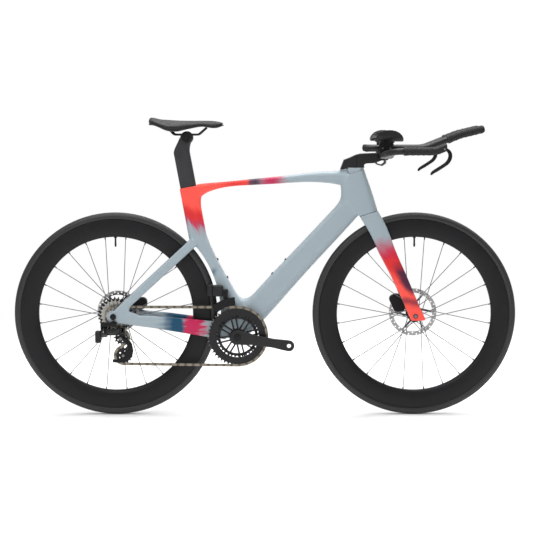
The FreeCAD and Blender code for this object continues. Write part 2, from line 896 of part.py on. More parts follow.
def seat_post():
    """Straight post whose head leans forward under the saddle clamp."""
    straight = lofted([post_section(-s.post_insertion, 0, 0), post_section(s.post_rise, 0, 0)])
    wires = [post_section(s.post_rise, 0, 0)]
    for share, shift_share, depth_share in POST_HEAD_SHARES:
        centre = SEAT_TOP + SEAT_UP * (s.post_rise + share * s.post_head_rise)
        centre = centre + SEAT_FRONT * (shift_share * s.post_depth)
        wires.append(
            kamm_section(
                centre, SEAT_FRONT, SIDE, depth_share * s.post_depth / 2, s.post_width / 2, *POST_ROUND_SHARES
            )
        )
    half = SIDE * (s.post_width / 2)
    dome = rod(CLAMP - half, CLAMP + half, s.post_head_radius)
    return straight.fuse([lofted(wires), dome])


CLAMP = V(-s.clamp_setback, 0, s.clamp_height)


def bent_tube(points, radius, bend):
    """Round tube along straight runs joined by tangent arcs."""
    edges = []
    last = points[0]
    for before, corner, after in zip(points, points[1:], points[2:]):
        into = (corner - before).normalize()
        out = (after - corner).normalize()
        half_turn = into.getAngle(out) / 2
        setback = bend * math.tan(half_turn)
        start, end = corner - into * setback, corner + out * setback
        inward = (out - into).normalize()
        middle = corner + inward * (bend / math.cos(half_turn) - bend)
        edges.append(Part.LineSegment(last, start).toShape())
        edges.append(Part.Arc(start, middle, end).toShape())
        last = end
    edges.append(Part.LineSegment(last, points[-1]).toShape())
    path = Part.Wire(edges)
    profile = Part.Wire(Part.makeCircle(radius, points[0], points[1] - points[0]))
    return path.makePipeShell([profile], True, False)


# along the saddle from its tail: half width, crown, side drop and base
SADDLE_SHARES = (
    (0.0, 0.5, 0.35, 0.3),
    (0.03, 0.72, 0.78, 0.25),
    (0.12, 0.97, 0.32, -0.2),
    (0.22, 1.0, 0.12, -1.2),
    (0.36, 0.92, -0.02, -1.65),
    (0.46, 0.76, -0.06, -1.15),
    (0.58, 0.58, -0.06, -0.62),
    (0.72, 0.43, -0.04, -0.2),
    (0.86, 0.37, -0.06, -0.62),
    (0.95, 0.33, -0.2, -0.25),
    (1.0, 0.24, -0.5, 0.1),
)
SADDLE_SIDE_SHARE = 0.55
# the saddle's flank: width of the base, and width and height of the flank's middle
BASE_WIDTH_SHARE = 0.86
FLANK_SHARES = (0.98, 0.45)
# the crown's middle: width and height over the brow
CROWN_SHARES = (0.62, 0.83)
# along the saddle: the rail's ends
RAIL_END_SHARES = (0.285, 0.77)
# along the rail: the ends of its level run
RAIL_RUN_SHARES = (0.1, 0.78)
# the rail's rise behind and in front over the padding, and its spacing at the nose
RAIL_RISE_SHARES = (0.9, 1.5)
RAIL_NOSE_SHARE = 0.7


def saddle_wire(row, lift, drop, shrink):
    """Section across the saddle: a crowned top and drawn in flanks."""
    share, wide, crown, base = row
    x = -s.saddle_rear_setback + share * s.saddle_length
    half = wide * s.saddle_half_width - shrink
    top = s.saddle_top_height + crown * s.saddle_padding + lift
    low = s.saddle_top_height - s.saddle_padding + base * s.saddle_skirt + drop
    brow = top - (top - low) * SADDLE_SIDE_SHARE
    base_half = half * BASE_WIDTH_SHARE
    left_low, right_low = V(x, base_half, low), V(x, -base_half, low)
    left_brow, right_brow = V(x, half, brow), V(x, -half, brow)
    summit = V(x, 0, top)
    flank_half, flank_z = half * FLANK_SHARES[0], lerp(low, brow, FLANK_SHARES[1])
    left_mid, right_mid = V(x, flank_half, flank_z), V(x, -flank_half, flank_z)
    crown_half, crown_z = half * CROWN_SHARES[0], lerp(brow, top, CROWN_SHARES[1])
    left_arc = Part.Arc(left_brow, V(x, crown_half, crown_z), summit)
    right_arc = Part.Arc(summit, V(x, -crown_half, crown_z), right_brow)
    return Part.Wire(
        [
            Part.LineSegment(right_low, left_low).toShape(),
            Part.Arc(left_low, left_mid, left_brow).toShape(),
            left_arc.toShape(),
            right_arc.toShape(),
            Part.Arc(right_brow, right_mid, right_low).toShape(),
        ]
    )


def saddle_cover():
    return lofted([saddle_wire(row, 0, s.saddle_shell_wall + s.moving_gap, 0) for row in SADDLE_SHARES])


def saddle_shell():
    """Thin tray under the cover."""
    wall = s.saddle_shell_wall
    whole = lofted([saddle_wire(row, -wall, 0, wall / 2) for row in SADDLE_SHARES])
    spread = lofted([saddle_wire(row, wall, wall, -wall / 2) for row in SADDLE_SHARES])
    return whole.cut(spread)


def saddle_rail():
    """Left rail: it leaves the shell behind, runs through the clamp and rises to the nose."""
    level = s.clamp_height + s.rail_lift
    tail, nose = [-s.saddle_rear_setback + s.saddle_length * share for share in RAIL_END_SHARES]
    run_rear, run_front = [lerp(tail, nose, share) for share in RAIL_RUN_SHARES]
    across = s.rail_half_spacing
    rear_rise, front_rise = [s.saddle_padding * share for share in RAIL_RISE_SHARES]
    points = [
        V(tail, across, level + rear_rise),
        V(run_rear, across, level),
        V(run_front, across, level),
        V(nose, across * RAIL_NOSE_SHARE, level + front_rise),
    ]
    return bent_tube(points, s.rail_radius, s.rail_bend_radius)


def saddle_clamp(post, rails):
    """Barrel through the post head, with a cradle that grips both rails."""
    half = SIDE * (s.clamp_width / 2)
    barrel = rod(CLAMP - half, CLAMP + half, s.clamp_radius)
    return barrel.cut(post).cut(rails)


post_shape = seat_post()
shell_shape = saddle_shell()
rails_shape = both_sides(largest(saddle_rail().cut(shell_shape)))
add_feature("seat_post", post_shape)
add_feature("saddle_rails", rails_shape)
add_feature("saddle_clamp", saddle_clamp(post_shape, rails_shape))
add_feature("saddle_cover", saddle_cover())
add_feature("saddle_shell", shell_shape)

# Cockpit

# roundness of the nose and the tail of a nearly round section
ROUND_SHARES = (0.95, 0.9)
# side outline of the stem, over its reach and height
STEM_SHARES = (
    (0.0, 0.0),
    (0.24, 0.0),
    (0.22, 0.19),
    (0.29, 0.28),
    (0.55, 0.31),
    (0.76, 0.48),
    (0.94, 0.5),
    (1.0, 0.6),
    (1.0, 1.0),
    (0.86, 1.06),
    (0.7, 1.0),
    (0.11, 0.94),
    (0.0, 0.88),
)
STEM_COVER_WIDTH_SHARE = 0.9
# roundness of the headset cover's nose and tail, and the width of its tongue
COVER_ROUND_SHARES = (0.94, 0.7)
TONGUE_WIDTH_SHARE = 0.78
STEM_COVER_SHARES = ((0.0, 0.0), (0.22, 0.64), (0.59, 0.8), (1.0, 1.0), (1.0, 0.12))
# out along half of the base bar: reach, spacing, height, yaw share, chord and thickness
BAR_SHARES = (
    (0.0, 0.0, 0.0, 0.0, 1.0, 1.0),
    (0.0, 0.42, 0.08, 0.02, 1.0, 1.0),
    (0.0, 0.66, 0.35, 0.1, 0.92, 1.04),
    (0.22, 0.86, 0.75, 0.45, 0.74, 1.08),
    (0.6, 0.97, 0.95, 0.8, 0.58, 1.12),
    (1.0, 1.0, 1.0, 1.0, 0.48, 1.15),
)


def share_points(rows, low_x, high_x, low_z, high_z):
    return [(lerp(low_x, high_x, x), lerp(low_z, high_z, z)) for x, z in rows]


def steerer_hole():
    return rod(steer_point(CROWN), steer_point(HEAD_TOP + s.cut_overrun * 2), s.steerer_radius + s.seat_gap)


def base_bar():
    """Flat wing whose ends turn forward into round grips."""
    wires = []
    rows = [(row, 1) for row in reversed(BAR_SHARES)] + [(row, -1) for row in BAR_SHARES[1:]]
    for (reach, spacing, height, yaw, chord, thick), way in rows:
        turn = yaw * math.pi / 2
        centre = V(
            lerp(s.bar_reach, s.grip_reach, reach),
            s.grip_half_spacing * spacing * way,
            lerp(s.bar_height, s.grip_height, height),
        )
        front = V(math.cos(turn), -math.sin(turn) * way, 0)
        wires.append(
            kamm_section(
                centre, front, UP, chord * s.bar_chord / 2, thick * s.bar_thickness / 2, *ROUND_SHARES
            )
        )
    grip = rod(grip_point(0), grip_point(s.grip_length), s.grip_tube_radius)
    return lofted(wires).fuse([grip, mirrored(grip)])


def grip_point(distance):
    """Point on the left grip's axis, forward of the bar's bend."""
    return V(s.grip_reach + distance, s.grip_half_spacing, s.grip_height)


# along an extension: its two bends, and the rise of the second
BEND_SHARES = (0.51, 0.81)
BEND_RISE_SHARE = 0.72
# along the raised runs: where the wrap starts and ends
WRAP_SHARES = (0.62, 0.96)


def extension_points():
    """Corners of the left extension: level, a rise and a gentler tip."""
    across = s.extension_half_spacing
    low, length = s.extension_height, s.extension_tip - s.extension_rear
    return [
        V(s.extension_rear, across, low),
        V(s.extension_rear + length * BEND_SHARES[0], across, low),
        V(s.extension_rear + length * BEND_SHARES[1], across, low + s.extension_rise * BEND_RISE_SHARE),
        V(s.extension_tip, across, low + s.extension_rise),
    ]


def extension_tape(tube_shape):
    """Left wrap over the raised end of the extension."""
    low, bend, high, tip = extension_points()
    start = lerp(bend, high, WRAP_SHARES[0])
    outer = bent_tube(
        [start, high, lerp(high, tip, WRAP_SHARES[1])],
        s.extension_radius + s.tape_thickness,
        s.extension_bend_radius,
    )
    return outer.cut(tube_shape)


BUTTON_PLACE_SHARE = 0.66
BUTTON_LIFT_SHARE = 3


def button_centre():
    low, bend, high, tip = extension_points()
    return lerp(high, tip, BUTTON_PLACE_SHARE)


def button_hole():
    centre = button_centre()
    inner = centre - SIDE * (s.extension_radius + s.running_gap)
    return rod(inner, inner - SIDE * s.cut_overrun / 2, s.button_radius + s.moving_gap)


def shift_button():
    """Left button, in the inner side of the extension's wrap."""
    face = button_centre() - SIDE * (s.extension_radius + s.button_travel + s.running_gap * BUTTON_LIFT_SHARE)
    return rod(face, face - SIDE * s.button_height, s.button_radius)


# along a hood: lift and size
HOOD_SHARES = ((0.0, 0.0, 1.0), (0.5, 0.4, 1.05), (0.86, 0.9, 1.02), (1.0, 1.0, 0.86))
HOOD_ROUND_SHARES = (0.9, 0.9)
SLOT_LIFT_SHARE = 0.6
PIN_REACH_SHARE = 0.8
# the lever's pivot: along the hood and up over its rise
PIVOT_SHARES = (0.82, 0.583)
LEVER_ROUND_SHARES = (0.85, 0.85)


def brake_hood():
    """Left hood: a swelling end on the bar, slotted for the lever."""
    wires = []
    for share, lift, size in HOOD_SHARES:
        centre = grip_point(s.grip_length + share * s.hood_length) + UP * (lift * s.hood_rise)
        half = size * s.hood_radius
        wires.append(kamm_section(centre, UP, SIDE, half, half, *HOOD_ROUND_SHARES))
    pivot = lever_pivot()
    half_slot = s.hood_slot / 2
    slot = Part.makeBox(
        s.cut_overrun,
        s.hood_slot,
        s.cut_overrun,
        pivot + V(-s.lever_depth, -half_slot, -s.cut_overrun + s.lever_depth * SLOT_LIFT_SHARE),
    )
    reach = SIDE * (s.hood_radius * PIN_REACH_SHARE)
    pin = rod(pivot - reach, pivot + reach, s.lever_pivot_radius)
    return lofted(wires).cut(slot).fuse(pin)


def lever_pivot():
    along, rise = PIVOT_SHARES
    return grip_point(s.grip_length + s.hood_length * along) + UP * (s.hood_rise * rise)


# lever blade from its pivot: reach and drop over its length, depth and width
LEVER_SHARES = (
    (-0.02, 0.02, 0.85, 1.0),
    (0.14, -0.05, 0.95, 1.0),
    (0.24, -0.2, 1.12, 1.1),
    (0.23, -0.38, 1.15, 1.45),
    (0.1, -0.58, 1.08, 1.7),
    (-0.16, -0.76, 1.0, 1.75),
    (-0.42, -0.92, 0.9, 1.7),
    (-0.5, -0.99, 0.72, 1.4),
    (-0.53, -1.05, 0.5, 1.2),
)


def brake_lever():
    """Left lever blade, hooked back under the grip."""
    pivot = lever_pivot()
    spots = [pivot + V(reach, 0, drop) * s.lever_length for reach, drop, deep, wide in LEVER_SHARES]
    wires = []
    for index, (reach, drop, deep, wide) in enumerate(LEVER_SHARES):
        before = spots[max(index - 1, 0)]
        after = spots[min(index + 1, len(spots) - 1)]
        out = (after - before).normalize().cross(SIDE)
        wires.append(
            kamm_section(
                spots[index], out, SIDE, deep * s.lever_depth / 2, wide * s.lever_width / 2,
                *LEVER_ROUND_SHARES,
            )
        )
    boss = rod(pivot - SIDE * s.lever_width / 2, pivot + SIDE * s.lever_width / 2, s.lever_depth / 2)
    reach = SIDE * s.hood_radius
    hole = rod(pivot - reach, pivot + reach, s.lever_pivot_radius + s.running_gap)
    return lofted(wires).fuse(boss).cut(hole)


CUP_BEND_SHARE = 0.6
CUP_LIP_SHARE = 0.45


def cup_section(x, inset):
    """Section across the left arm cup: a floor with a low inner lip and a tall outer wall."""
    low, wall = s.cup_floor_height + inset, s.cup_outer - inset
    bend = s.cup_rise * CUP_BEND_SHARE - inset
    lip = s.cup_inner + inset
    lip_bend = s.cup_rise * CUP_LIP_SHARE - inset
    diagonal = 1 - math.sqrt(0.5)
    top = s.cup_floor_height + s.cup_rise * 2
    return [
        Part.LineSegment(V(x, lip, top), V(x, lip, low + lip_bend)),
        Part.Arc(
            V(x, lip, low + lip_bend),
            V(x, lip + lip_bend * diagonal, low + lip_bend * diagonal),
            V(x, lip + lip_bend, low),
        ),
        Part.LineSegment(V(x, lip + lip_bend, low), V(x, wall - bend, low)),
        Part.Arc(
            V(x, wall - bend, low),
            V(x, wall - bend * diagonal, low + bend * diagonal),
            V(x, wall, low + bend),
        ),
        Part.LineSegment(V(x, wall, low + bend), V(x, wall, top)),
        Part.LineSegment(V(x, wall, top), V(x, lip, top)),
    ]


def cup_trough(start, end, inset):
    wire = Part.Wire([curve.toShape() for curve in cup_section(start, inset)])
    return outward(Part.Face(wire).extrude(FORWARD * (end - start)))


# side outline of an arm cup, over its length and rise
CUP_OUTER_SHARES = (
    (0.05, -0.1), (0.95, -0.1), (1.0, 0.1), (0.985, 0.34), (0.93, 0.58), (0.84, 0.79), (0.72, 0.93),
    (0.58, 1.0), (0.42, 1.0), (0.29, 0.93), (0.17, 0.78), (0.075, 0.56), (0.015, 0.32), (0.0, 0.1),
)
CUP_LIP_SHARES = (
    (0.05, -0.1), (0.95, -0.1), (1.0, 0.12), (0.9, 0.27),
    (0.75, 0.34), (0.25, 0.34), (0.1, 0.27), (0.0, 0.12),
)
CUP_MIDDLE_SHARE = 0.45


def cup_prism(rows, start_y, end_y, inset):
    low, high = s.cup_reach + inset, s.cup_reach + s.cup_length - inset
    points = share_points(rows, low, high, s.cup_floor_height, s.cup_floor_height + s.cup_rise - inset)
    return extruded(points, start_y, end_y)


def cup_outline(inset):
    middle = lerp(s.cup_inner, s.cup_outer, CUP_MIDDLE_SHARE)
    outer = cup_prism(CUP_OUTER_SHARES, middle, s.cup_outer + s.cut_overrun, inset)
    return outer.fuse(cup_prism(CUP_LIP_SHARES, s.cup_inner - s.cut_overrun, middle, inset))


def arm_cup():
    low, high = s.cup_reach, s.cup_reach + s.cup_length
    trough = cup_trough(low, high, 0).cut(cup_trough(low - s.cut_overrun, high + s.cut_overrun, s.cup_wall))
    return trough.common(cup_outline(0))


def arm_pad():
    """Left pad, a soft lining that follows the cup."""
    low, high = s.cup_reach, s.cup_reach + s.cup_length
    inside = s.cup_wall + s.seat_gap
    trough = cup_trough(low, high, inside)
    hollow = cup_trough(low - s.cut_overrun, high + s.cut_overrun, inside + s.pad_thickness)
    return trough.cut(hollow).common(cup_outline(s.cup_wall))


def extension_mount(taken):
    """Left bracket: it stands on the bar, grips the extension and carries the arm cup."""
    length, across = s.mount_length, s.extension_half_spacing
    half = s.extension_radius + s.mount_wall
    corner = V(s.mount_reach - length / 2, across - half, s.bar_height)
    block = Part.makeBox(length, half * 2, s.cup_floor_height - s.bar_height, corner)
    plate_width = s.cup_outer - s.cup_rise - across + half
    plate_corner = V(s.mount_reach - length / 2, across - half, s.cup_floor_height - s.mount_wall)
    plate = Part.makeBox(length, plate_width, s.mount_wall, plate_corner)
    shape = block.fuse(plate)
    for other in taken:
        shape = shape.cut(other)
    return largest(shape)


# side to side and down the brake hose's loop, from the bar to the stem
HOSE_SHARES = ((0.0, 1.0, 1.0), (0.02, 0.86, 0.35), (-0.38, 0.7, 0.0), (-0.95, 0.5, 0.2), (-1.2, 0.4, 0.75))


HOSE_SPAN_SHARE = 0.62
HOSE_SPACING_SHARE = 1.35
CALIPER_ROUND_SHARES = (0.8, 0.8)
PAD_ROUND_SHARES = (0.6, 0.6)
PAD_LENGTH_SHARE = 0.5
PAD_DEPTH_SHARE = 0.3
ROTOR_ROOM_SHARE = 5


def brake_hose():
    """Left hose, looping from under the bar to the stem."""
    span, fall = s.bar_chord * HOSE_SPAN_SHARE, s.hose_drop
    low = s.bar_height - s.bar_thickness / 2 - fall
    points = [
        V(s.bar_reach + reach * span, across * s.stem_half_width * HOSE_SPACING_SHARE, low + height * fall)
        for reach, across, height in HOSE_SHARES
    ]
    return bent_tube(points, s.hose_radius, s.hose_bend_radius)


def caliper(centre, along, rotor_y, axle, rotor_radius, taken):
    """Disc brake caliper: a rounded block that straddles the rotor, and its two pads."""
    out = along.cross(SIDE).normalize()
    half_length, half_depth = s.caliper_length / 2, s.caliper_depth / 2
    middle = V(centre.x, rotor_y, centre.z)
    wire = kamm_section(
        middle - SIDE * s.caliper_half_thickness, along, out, half_length, half_depth, *CALIPER_ROUND_SHARES
    )
    block = outward(Part.Face(wire).extrude(SIDE * s.caliper_half_thickness * 2))
    for other in taken:
        block = block.cut(other)
    axis = V(axle.x, rotor_y, axle.z)
    slot = SIDE * s.caliper_slot
    block = block.cut(rod(axis - slot, axis + slot, rotor_radius + s.moving_gap * ROTOR_ROOM_SHARE))
    block = largest(block)
    near = s.rotor_thickness / 2 + s.moving_gap
    solids = [block]
    for way in (1, -1):
        face = kamm_section(
            middle + SIDE * (way * near), along, out, half_length * PAD_LENGTH_SHARE,
            half_depth * PAD_DEPTH_SHARE, *PAD_ROUND_SHARES,
        )
        pad = outward(Part.Face(face).extrude(SIDE * (way * (s.caliper_slot - near))))
        disc = rod(axis - SIDE * s.cut_overrun, axis + SIDE * s.cut_overrun, rotor_radius + s.moving_gap)
        solids.append(pad.common(disc))
    return Part.makeCompound(solids)


# Stem and covers
bar_shape = base_bar()
stem_points = share_points(
    STEM_SHARES, s.stem_seam_reach, s.stem_front_reach, s.stem_base_height, s.stem_top_height
)
stem_shape = extruded(stem_points, -s.stem_half_width, s.stem_half_width)
stem_shape = stem_shape.cut(steerer_hole()).cut(bar_shape)
rear_points = share_points(
    STEM_COVER_SHARES,
    s.stem_rear_reach,
    s.stem_seam_reach - s.seat_gap,
    s.stem_cover_base,
    s.stem_base_height + (s.stem_top_height - s.stem_base_height) * STEM_SHARES[-1][1],
)
stem_cover_half = s.stem_half_width * STEM_COVER_WIDTH_SHARE
stem_cover_shape = extruded(rear_points, -stem_cover_half, stem_cover_half).cut(steerer_hole())


def headset_cover():
    """Wedge between the head tube's sloping top and the stem, with a tongue over the top tube."""
    base = steer_point(HEAD_TOP + s.moving_gap * 2)
    centre = base + STEER_FRONT * ((s.cover_front - s.cover_rear) / 2)
    half_depth = (s.cover_front + s.cover_rear) / 2
    wire = kamm_section(centre, STEER_FRONT, SIDE, half_depth, s.cover_half_width, *COVER_ROUND_SHARES)
    shape = outward(Part.Face(wire).extrude(STEER_UP * s.cut_overrun))
    reach = s.cut_overrun * 2
    over = Part.makeBox(
        reach * 2, reach * 2, reach, V(base.x - reach, -reach, s.stem_base_height - s.seat_gap)
    )
    half = s.cover_half_width * TONGUE_WIDTH_SHARE
    low = s.stem_cover_base - s.cover_tongue
    tongue = Part.makeBox(
        base.x - s.stem_rear_reach, half * 2, s.cover_tongue - s.seat_gap, V(s.stem_rear_reach, -half, low)
    )
    shape = shape.cut(over).fuse(tongue).cut(steerer_hole()).cut(stem_cover_shape)
    return largest(shape)


add_feature("headset_cover", headset_cover())
add_feature("stem", stem_shape)
add_feature("stem_cover", stem_cover_shape)
add_feature("base_bar", bar_shape)

extension_shape = bent_tube(extension_points(), s.extension_radius, s.extension_bend_radius)
cup_shape = arm_cup()
grip_wrap = ring(
    grip_point(0), grip_point(s.grip_length), s.grip_tube_radius + s.tape_thickness, s.grip_tube_radius
).cut(bar_shape)
tape_shape = extension_tape(extension_shape).cut(button_hole())
add_feature("bar_tape", Part.makeCompound([grip_wrap, mirrored(grip_wrap), tape_shape, mirrored(tape_shape)]))
add_feature("brake_hoods", both_sides(brake_hood().cut(bar_shape)))
add_feature("extensions", both_sides(extension_shape))
add_feature("extension_mounts", both_sides(extension_mount([bar_shape, extension_shape, cup_shape])))
add_feature("arm_cups", both_sides(cup_shape))
add_feature("arm_pads", both_sides(arm_pad()))
add_feature("brake_hoses", both_sides(brake_hose().cut(bar_shape).cut(stem_shape)))
lever_shape = brake_lever()
add_feature("brake_lever_left", lever_shape)
add_feature("brake_lever_right", mirrored(lever_shape))
button_shape = shift_button()
add_feature("shift_button_left", button_shape)
add_feature("shift_button_right", mirrored(button_shape))

leg_top, leg_end, leg_front = leg_line()
FRONT_CALIPER_SHARE = 0.86
FRONT_CALIPER_BACK_SHARE = 0.42
# rear caliper from the axle, over the rotor's radius
REAR_CALIPER_SHARES = (0.93, 0.4)
front_caliper_centre = lerp(leg_top, leg_end, FRONT_CALIPER_SHARE) - leg_front * (
    s.leg_depth * FRONT_CALIPER_BACK_SHARE + s.caliper_depth / 2
)
add_feature(
    "front_brake_caliper",
    caliper(
        front_caliper_centre,
        (leg_top - leg_end).normalize(),
        s.front_rotor_offset,
        FRONT_AXLE,
        s.front_rotor_radius,
        [fork_shape],
    ),
)
caliper_forward, caliper_up = [s.rear_rotor_radius * share for share in REAR_CALIPER_SHARES]
rear_caliper_centre = REAR_AXLE + V(caliper_forward, 0, caliper_up)
add_feature(
    "rear_brake_caliper",
    caliper(
        rear_caliper_centre,
        FORWARD,
        s.rear_rotor_offset,
        REAR_AXLE,
        s.rear_rotor_radius,
        [left_chainstay, left_seatstay],
    ),
)

# Wheels

BEAD_SHARE = 0.715


def tyre(label, spot):
    """Open tyre section: a round tread with two straight sides down to the beads."""
    bead, rim, top = "rim_outer_radius - bead_depth", "rim_outer_radius", "tyre_outer_radius"
    half = "rim_half_width * %s" % BEAD_SHARE
    inner = "(%s - tyre_wall)" % half
    arc, inner_arc = "tyre_section_radius", "-(tyre_section_radius - tyre_wall)"
    loop = [
        (rim, "-" + half, arc),
        (top, "0", arc),
        (rim, half),
        (bead, half),
        (bead, inner),
        (rim, inner, inner_arc),
        (top + " - tyre_wall", "0", inner_arc),
        (rim, "-" + inner),
        (bead, "-" + inner),
        (bead, "-" + half),
    ]
    return revolved(label, [loop], *spot)


# rim section from its inner edge: share of depth, share of half width
RIM_SHARES = ((0.0, 0.26), (0.08, 0.62), (0.25, 0.85), (0.5, 0.97), (0.76, 1.0), (1.0, 0.95), (1.0, 0.73))
BED_SHARES = ((0.9, 0.73), (0.88, 0.52), (0.8, 0.33))
CAVITY_SHARES = (
    (0.06, 0.22), (0.13, 0.56), (0.28, 0.74), (0.52, 0.85), (0.76, 0.86), (0.8, 0.58), (0.74, 0.28),
)


def rim_loop(rows):
    inner = "rim_outer_radius - rim_depth * %s"
    left = [(inner % round(1 - deep, 4), "rim_half_width * %s" % wide) for deep, wide in rows]
    right = [(inner % round(1 - deep, 4), "-rim_half_width * %s" % wide) for deep, wide in reversed(rows)]
    return left + right


def rim(label, spot):
    """Deep hollow rim, drilled for the valve."""
    ring_body = revolved(label + "_ring", [rim_loop(RIM_SHARES + BED_SHARES), rim_loop(CAVITY_SHARES)], *spot)
    drill = doc.addObject("Part::Cylinder", label + "_drill")
    drill.setExpression("Radius", bound("valve_radius + seat_gap"))
    drill.setExpression("Height", bound("rim_outer_radius"))
    place(drill, *spot)
    cut = doc.addObject("Part::Cut", label)
    cut.Label = label
    cut.Base = ring_body
    cut.Tool = drill
    return cut


BOSS_STEP_SHARE = 1.5


def hub(label, right, left, rotor, half, freehub, spot):
    """Hub shell with two flanges, a rotor boss on the left and a through bore."""
    bore, cap, shell = "axle_radius + running_gap", "hub_cap_radius", "hub_shell_radius"
    flange = "flange_radius + hub_flange_thickness"
    edge, boss = "hub_flange_thickness / 2", "rotor_boss_radius"
    end = half + " - moving_gap"
    if freehub:
        drive_side = [
            (bore, "-(%s)" % end),
            ("hub_end_radius", "-(%s)" % end),
            ("hub_end_radius", "-(%s - freehub_cap)" % half),
            (cap, "-(%s - freehub_cap)" % half),
            (cap, "-(%s + hub_flange_thickness)" % right),
        ]
    else:
        drive_side = [
            (bore, "-(%s)" % end),
            (cap, "-(%s)" % end),
            (cap, "-(%s + hub_flange_thickness * 2)" % right),
        ]
    loop = drive_side + [
        (flange, "-(%s + %s)" % (right, edge)),
        (flange, "-(%s - %s)" % (right, edge)),
        (shell, "-(%s - hub_flange_thickness)" % right),
        (shell, "%s - hub_flange_thickness" % left),
        (flange, "%s - %s" % (left, edge)),
        (flange, "%s + %s" % (left, edge)),
        (boss, "%s + hub_flange_thickness" % left),
        (boss, "%s + hub_flange_thickness" % rotor),
        (cap, "%s + hub_flange_thickness * %s" % (rotor, BOSS_STEP_SHARE)),
        (cap, end),
        (bore, end),
    ]
    return revolved(label, [loop], *spot)


def thru_axle(label, half, thickness, head, spot):
    """Axle with a low round head on the drive side."""
    outside = "%s + %s" % (half, thickness)
    loop = [
        ("0", "-(%s + axle_head_height)" % outside),
        (head, "-(%s + axle_head_height)" % outside),
        (head, "-(%s + seat_gap)" % outside),
        ("axle_radius", "-(%s + seat_gap)" % outside),
        ("axle_radius", outside),
        ("0", outside),
    ]
    return revolved(label, [loop], *spot)


def blade(start, end, across, width, thickness):
    """Flat bar from start to end."""
    flat = (end - start).cross(across).normalize()
    side = flat.cross(end - start).normalize()
    corners = [
        start + side * (a * thickness / 2) + flat * (b * width / 2)
        for a, b in ((1, 1), (1, -1), (-1, -1), (-1, 1))
    ]
    return outward(Part.Face(Part.makePolygon(corners + corners[:1])).extrude(end - start))


SPOKE_SEAT_SHARE = 0.03


def spokes(axle, left, right):
    """Crossed blades: the sides alternate, and pairs lean forward and back in turn."""
    solids = []
    count = int(s.spoke_count)
    rim_radius = s.rim_outer_radius - s.rim_depth * (1 - SPOKE_SEAT_SHARE)
    for index in range(count):
        rim_turn = 2 * math.pi * (index + 0.5) / count
        lean = math.radians(s.spoke_cross) * (1 if index % 4 < 2 else -1)
        side = left if index % 2 == 0 else -right
        at_rim = axle + V(math.sin(rim_turn), 0, math.cos(rim_turn)) * rim_radius
        hub_turn = rim_turn + lean
        at_hub = axle + V(math.sin(hub_turn), 0, math.cos(hub_turn)) * s.flange_radius + SIDE * side
        solids.append(blade(at_hub, at_rim, SIDE, s.spoke_width, s.spoke_thickness))
    return Part.makeCompound(solids)


# rows of holes in the rotor's track: share of the track, share of the step between holes
HOLE_ROW_SHARES = ((0.3, 0.0), (0.7, 0.5))
VALVE_NUT_SHARE = 1.7


def rotor(axle, radius, offset):
    """Brake rotor: a drilled track on swept arms, with a carrier on the hub's boss."""
    half = SIDE * (s.rotor_thickness / 2)
    centre = axle + SIDE * offset
    track_inner = radius - s.rotor_track
    shape = ring(centre - half, centre + half, radius, track_inner)
    shape = shape.fuse(
        ring(centre - half, centre + half, s.rotor_carrier_radius, s.rotor_boss_radius + s.seat_gap)
    )
    count = int(s.rotor_arm_count)
    for index in range(count):
        turn = 2 * math.pi * index / count
        sweep = turn + math.pi / count
        start = centre + V(math.sin(turn), 0, math.cos(turn)) * (s.rotor_carrier_radius - s.rotor_thickness)
        end = centre + V(math.sin(sweep), 0, math.cos(sweep)) * (track_inner + s.rotor_thickness)
        shape = shape.fuse(blade(start, end, SIDE, s.rotor_arm_width, s.rotor_thickness))
    holes = int(s.rotor_hole_count)
    for index in range(holes):
        turn = 2 * math.pi * index / holes
        for row, shift in HOLE_ROW_SHARES:
            angle = turn + shift * 2 * math.pi / holes
            spot = centre + V(math.sin(angle), 0, math.cos(angle)) * (track_inner + s.rotor_track * row)
            shape = shape.cut(rod(spot - half * 2, spot + half * 2, s.rotor_hole_radius))
    return shape


def valve(axle):
    """Valve stem through the rim, with a nut on the rim's inner edge."""
    top = s.rim_outer_radius - s.rim_depth * (1 - CAVITY_SHARES[4][0])
    inner = s.rim_outer_radius - s.rim_depth
    stem = rod(axle + UP * (inner - s.valve_length), axle + UP * top, s.valve_radius)
    nut_radius = s.valve_radius * VALVE_NUT_SHARE
    nut = rod(axle + UP * (inner - s.valve_radius), axle + UP * (inner - s.seat_gap), nut_radius)
    return stem.fuse(nut)


nodes.append(tyre("front_tyre", FRONT_PLACE))
nodes.append(rim("front_rim", FRONT_PLACE))
nodes.append(
    hub("front_hub", "front_flange_right", "front_flange_left", "front_rotor_offset", "hub_front_half", False,
        FRONT_PLACE)
)
nodes.append(
    thru_axle(
        "front_thru_axle", "hub_front_half", "fork_tip_thickness", "front_axle_head_radius", FRONT_PLACE
    )
)
add_feature("front_spokes", spokes(FRONT_AXLE, s.front_flange_left, s.front_flange_right))
add_feature("front_rotor", rotor(FRONT_AXLE, s.front_rotor_radius, s.front_rotor_offset))
add_feature("front_valve", valve(FRONT_AXLE))
nodes.append(tyre("rear_tyre", REAR_PLACE))
nodes.append(rim("rear_rim", REAR_PLACE))
nodes.append(
    hub("rear_hub", "rear_flange_right", "rear_flange_left", "rear_rotor_offset", "hub_rear_half", True,
        REAR_PLACE)
)
nodes.append(
    thru_axle("rear_thru_axle", "hub_rear_half", "dropout_thickness", "axle_head_radius", REAR_PLACE)
)
add_feature("rear_spokes", spokes(REAR_AXLE, s.rear_flange_left, s.rear_flange_right))
add_feature("rear_rotor", rotor(REAR_AXLE, s.rear_rotor_radius, s.rear_rotor_offset))
add_feature("rear_valve", valve(REAR_AXLE))

# Drivetrain

SPROCKET_TEETH = (10, 11, 12, 13, 14, 15, 16, 17, 19, 21, 24, 28)
DRIVE_LINE = SIDE * -s.chain_line


def pitch_radius(teeth):
    return s.chain_pitch / (2 * math.sin(math.pi / teeth))


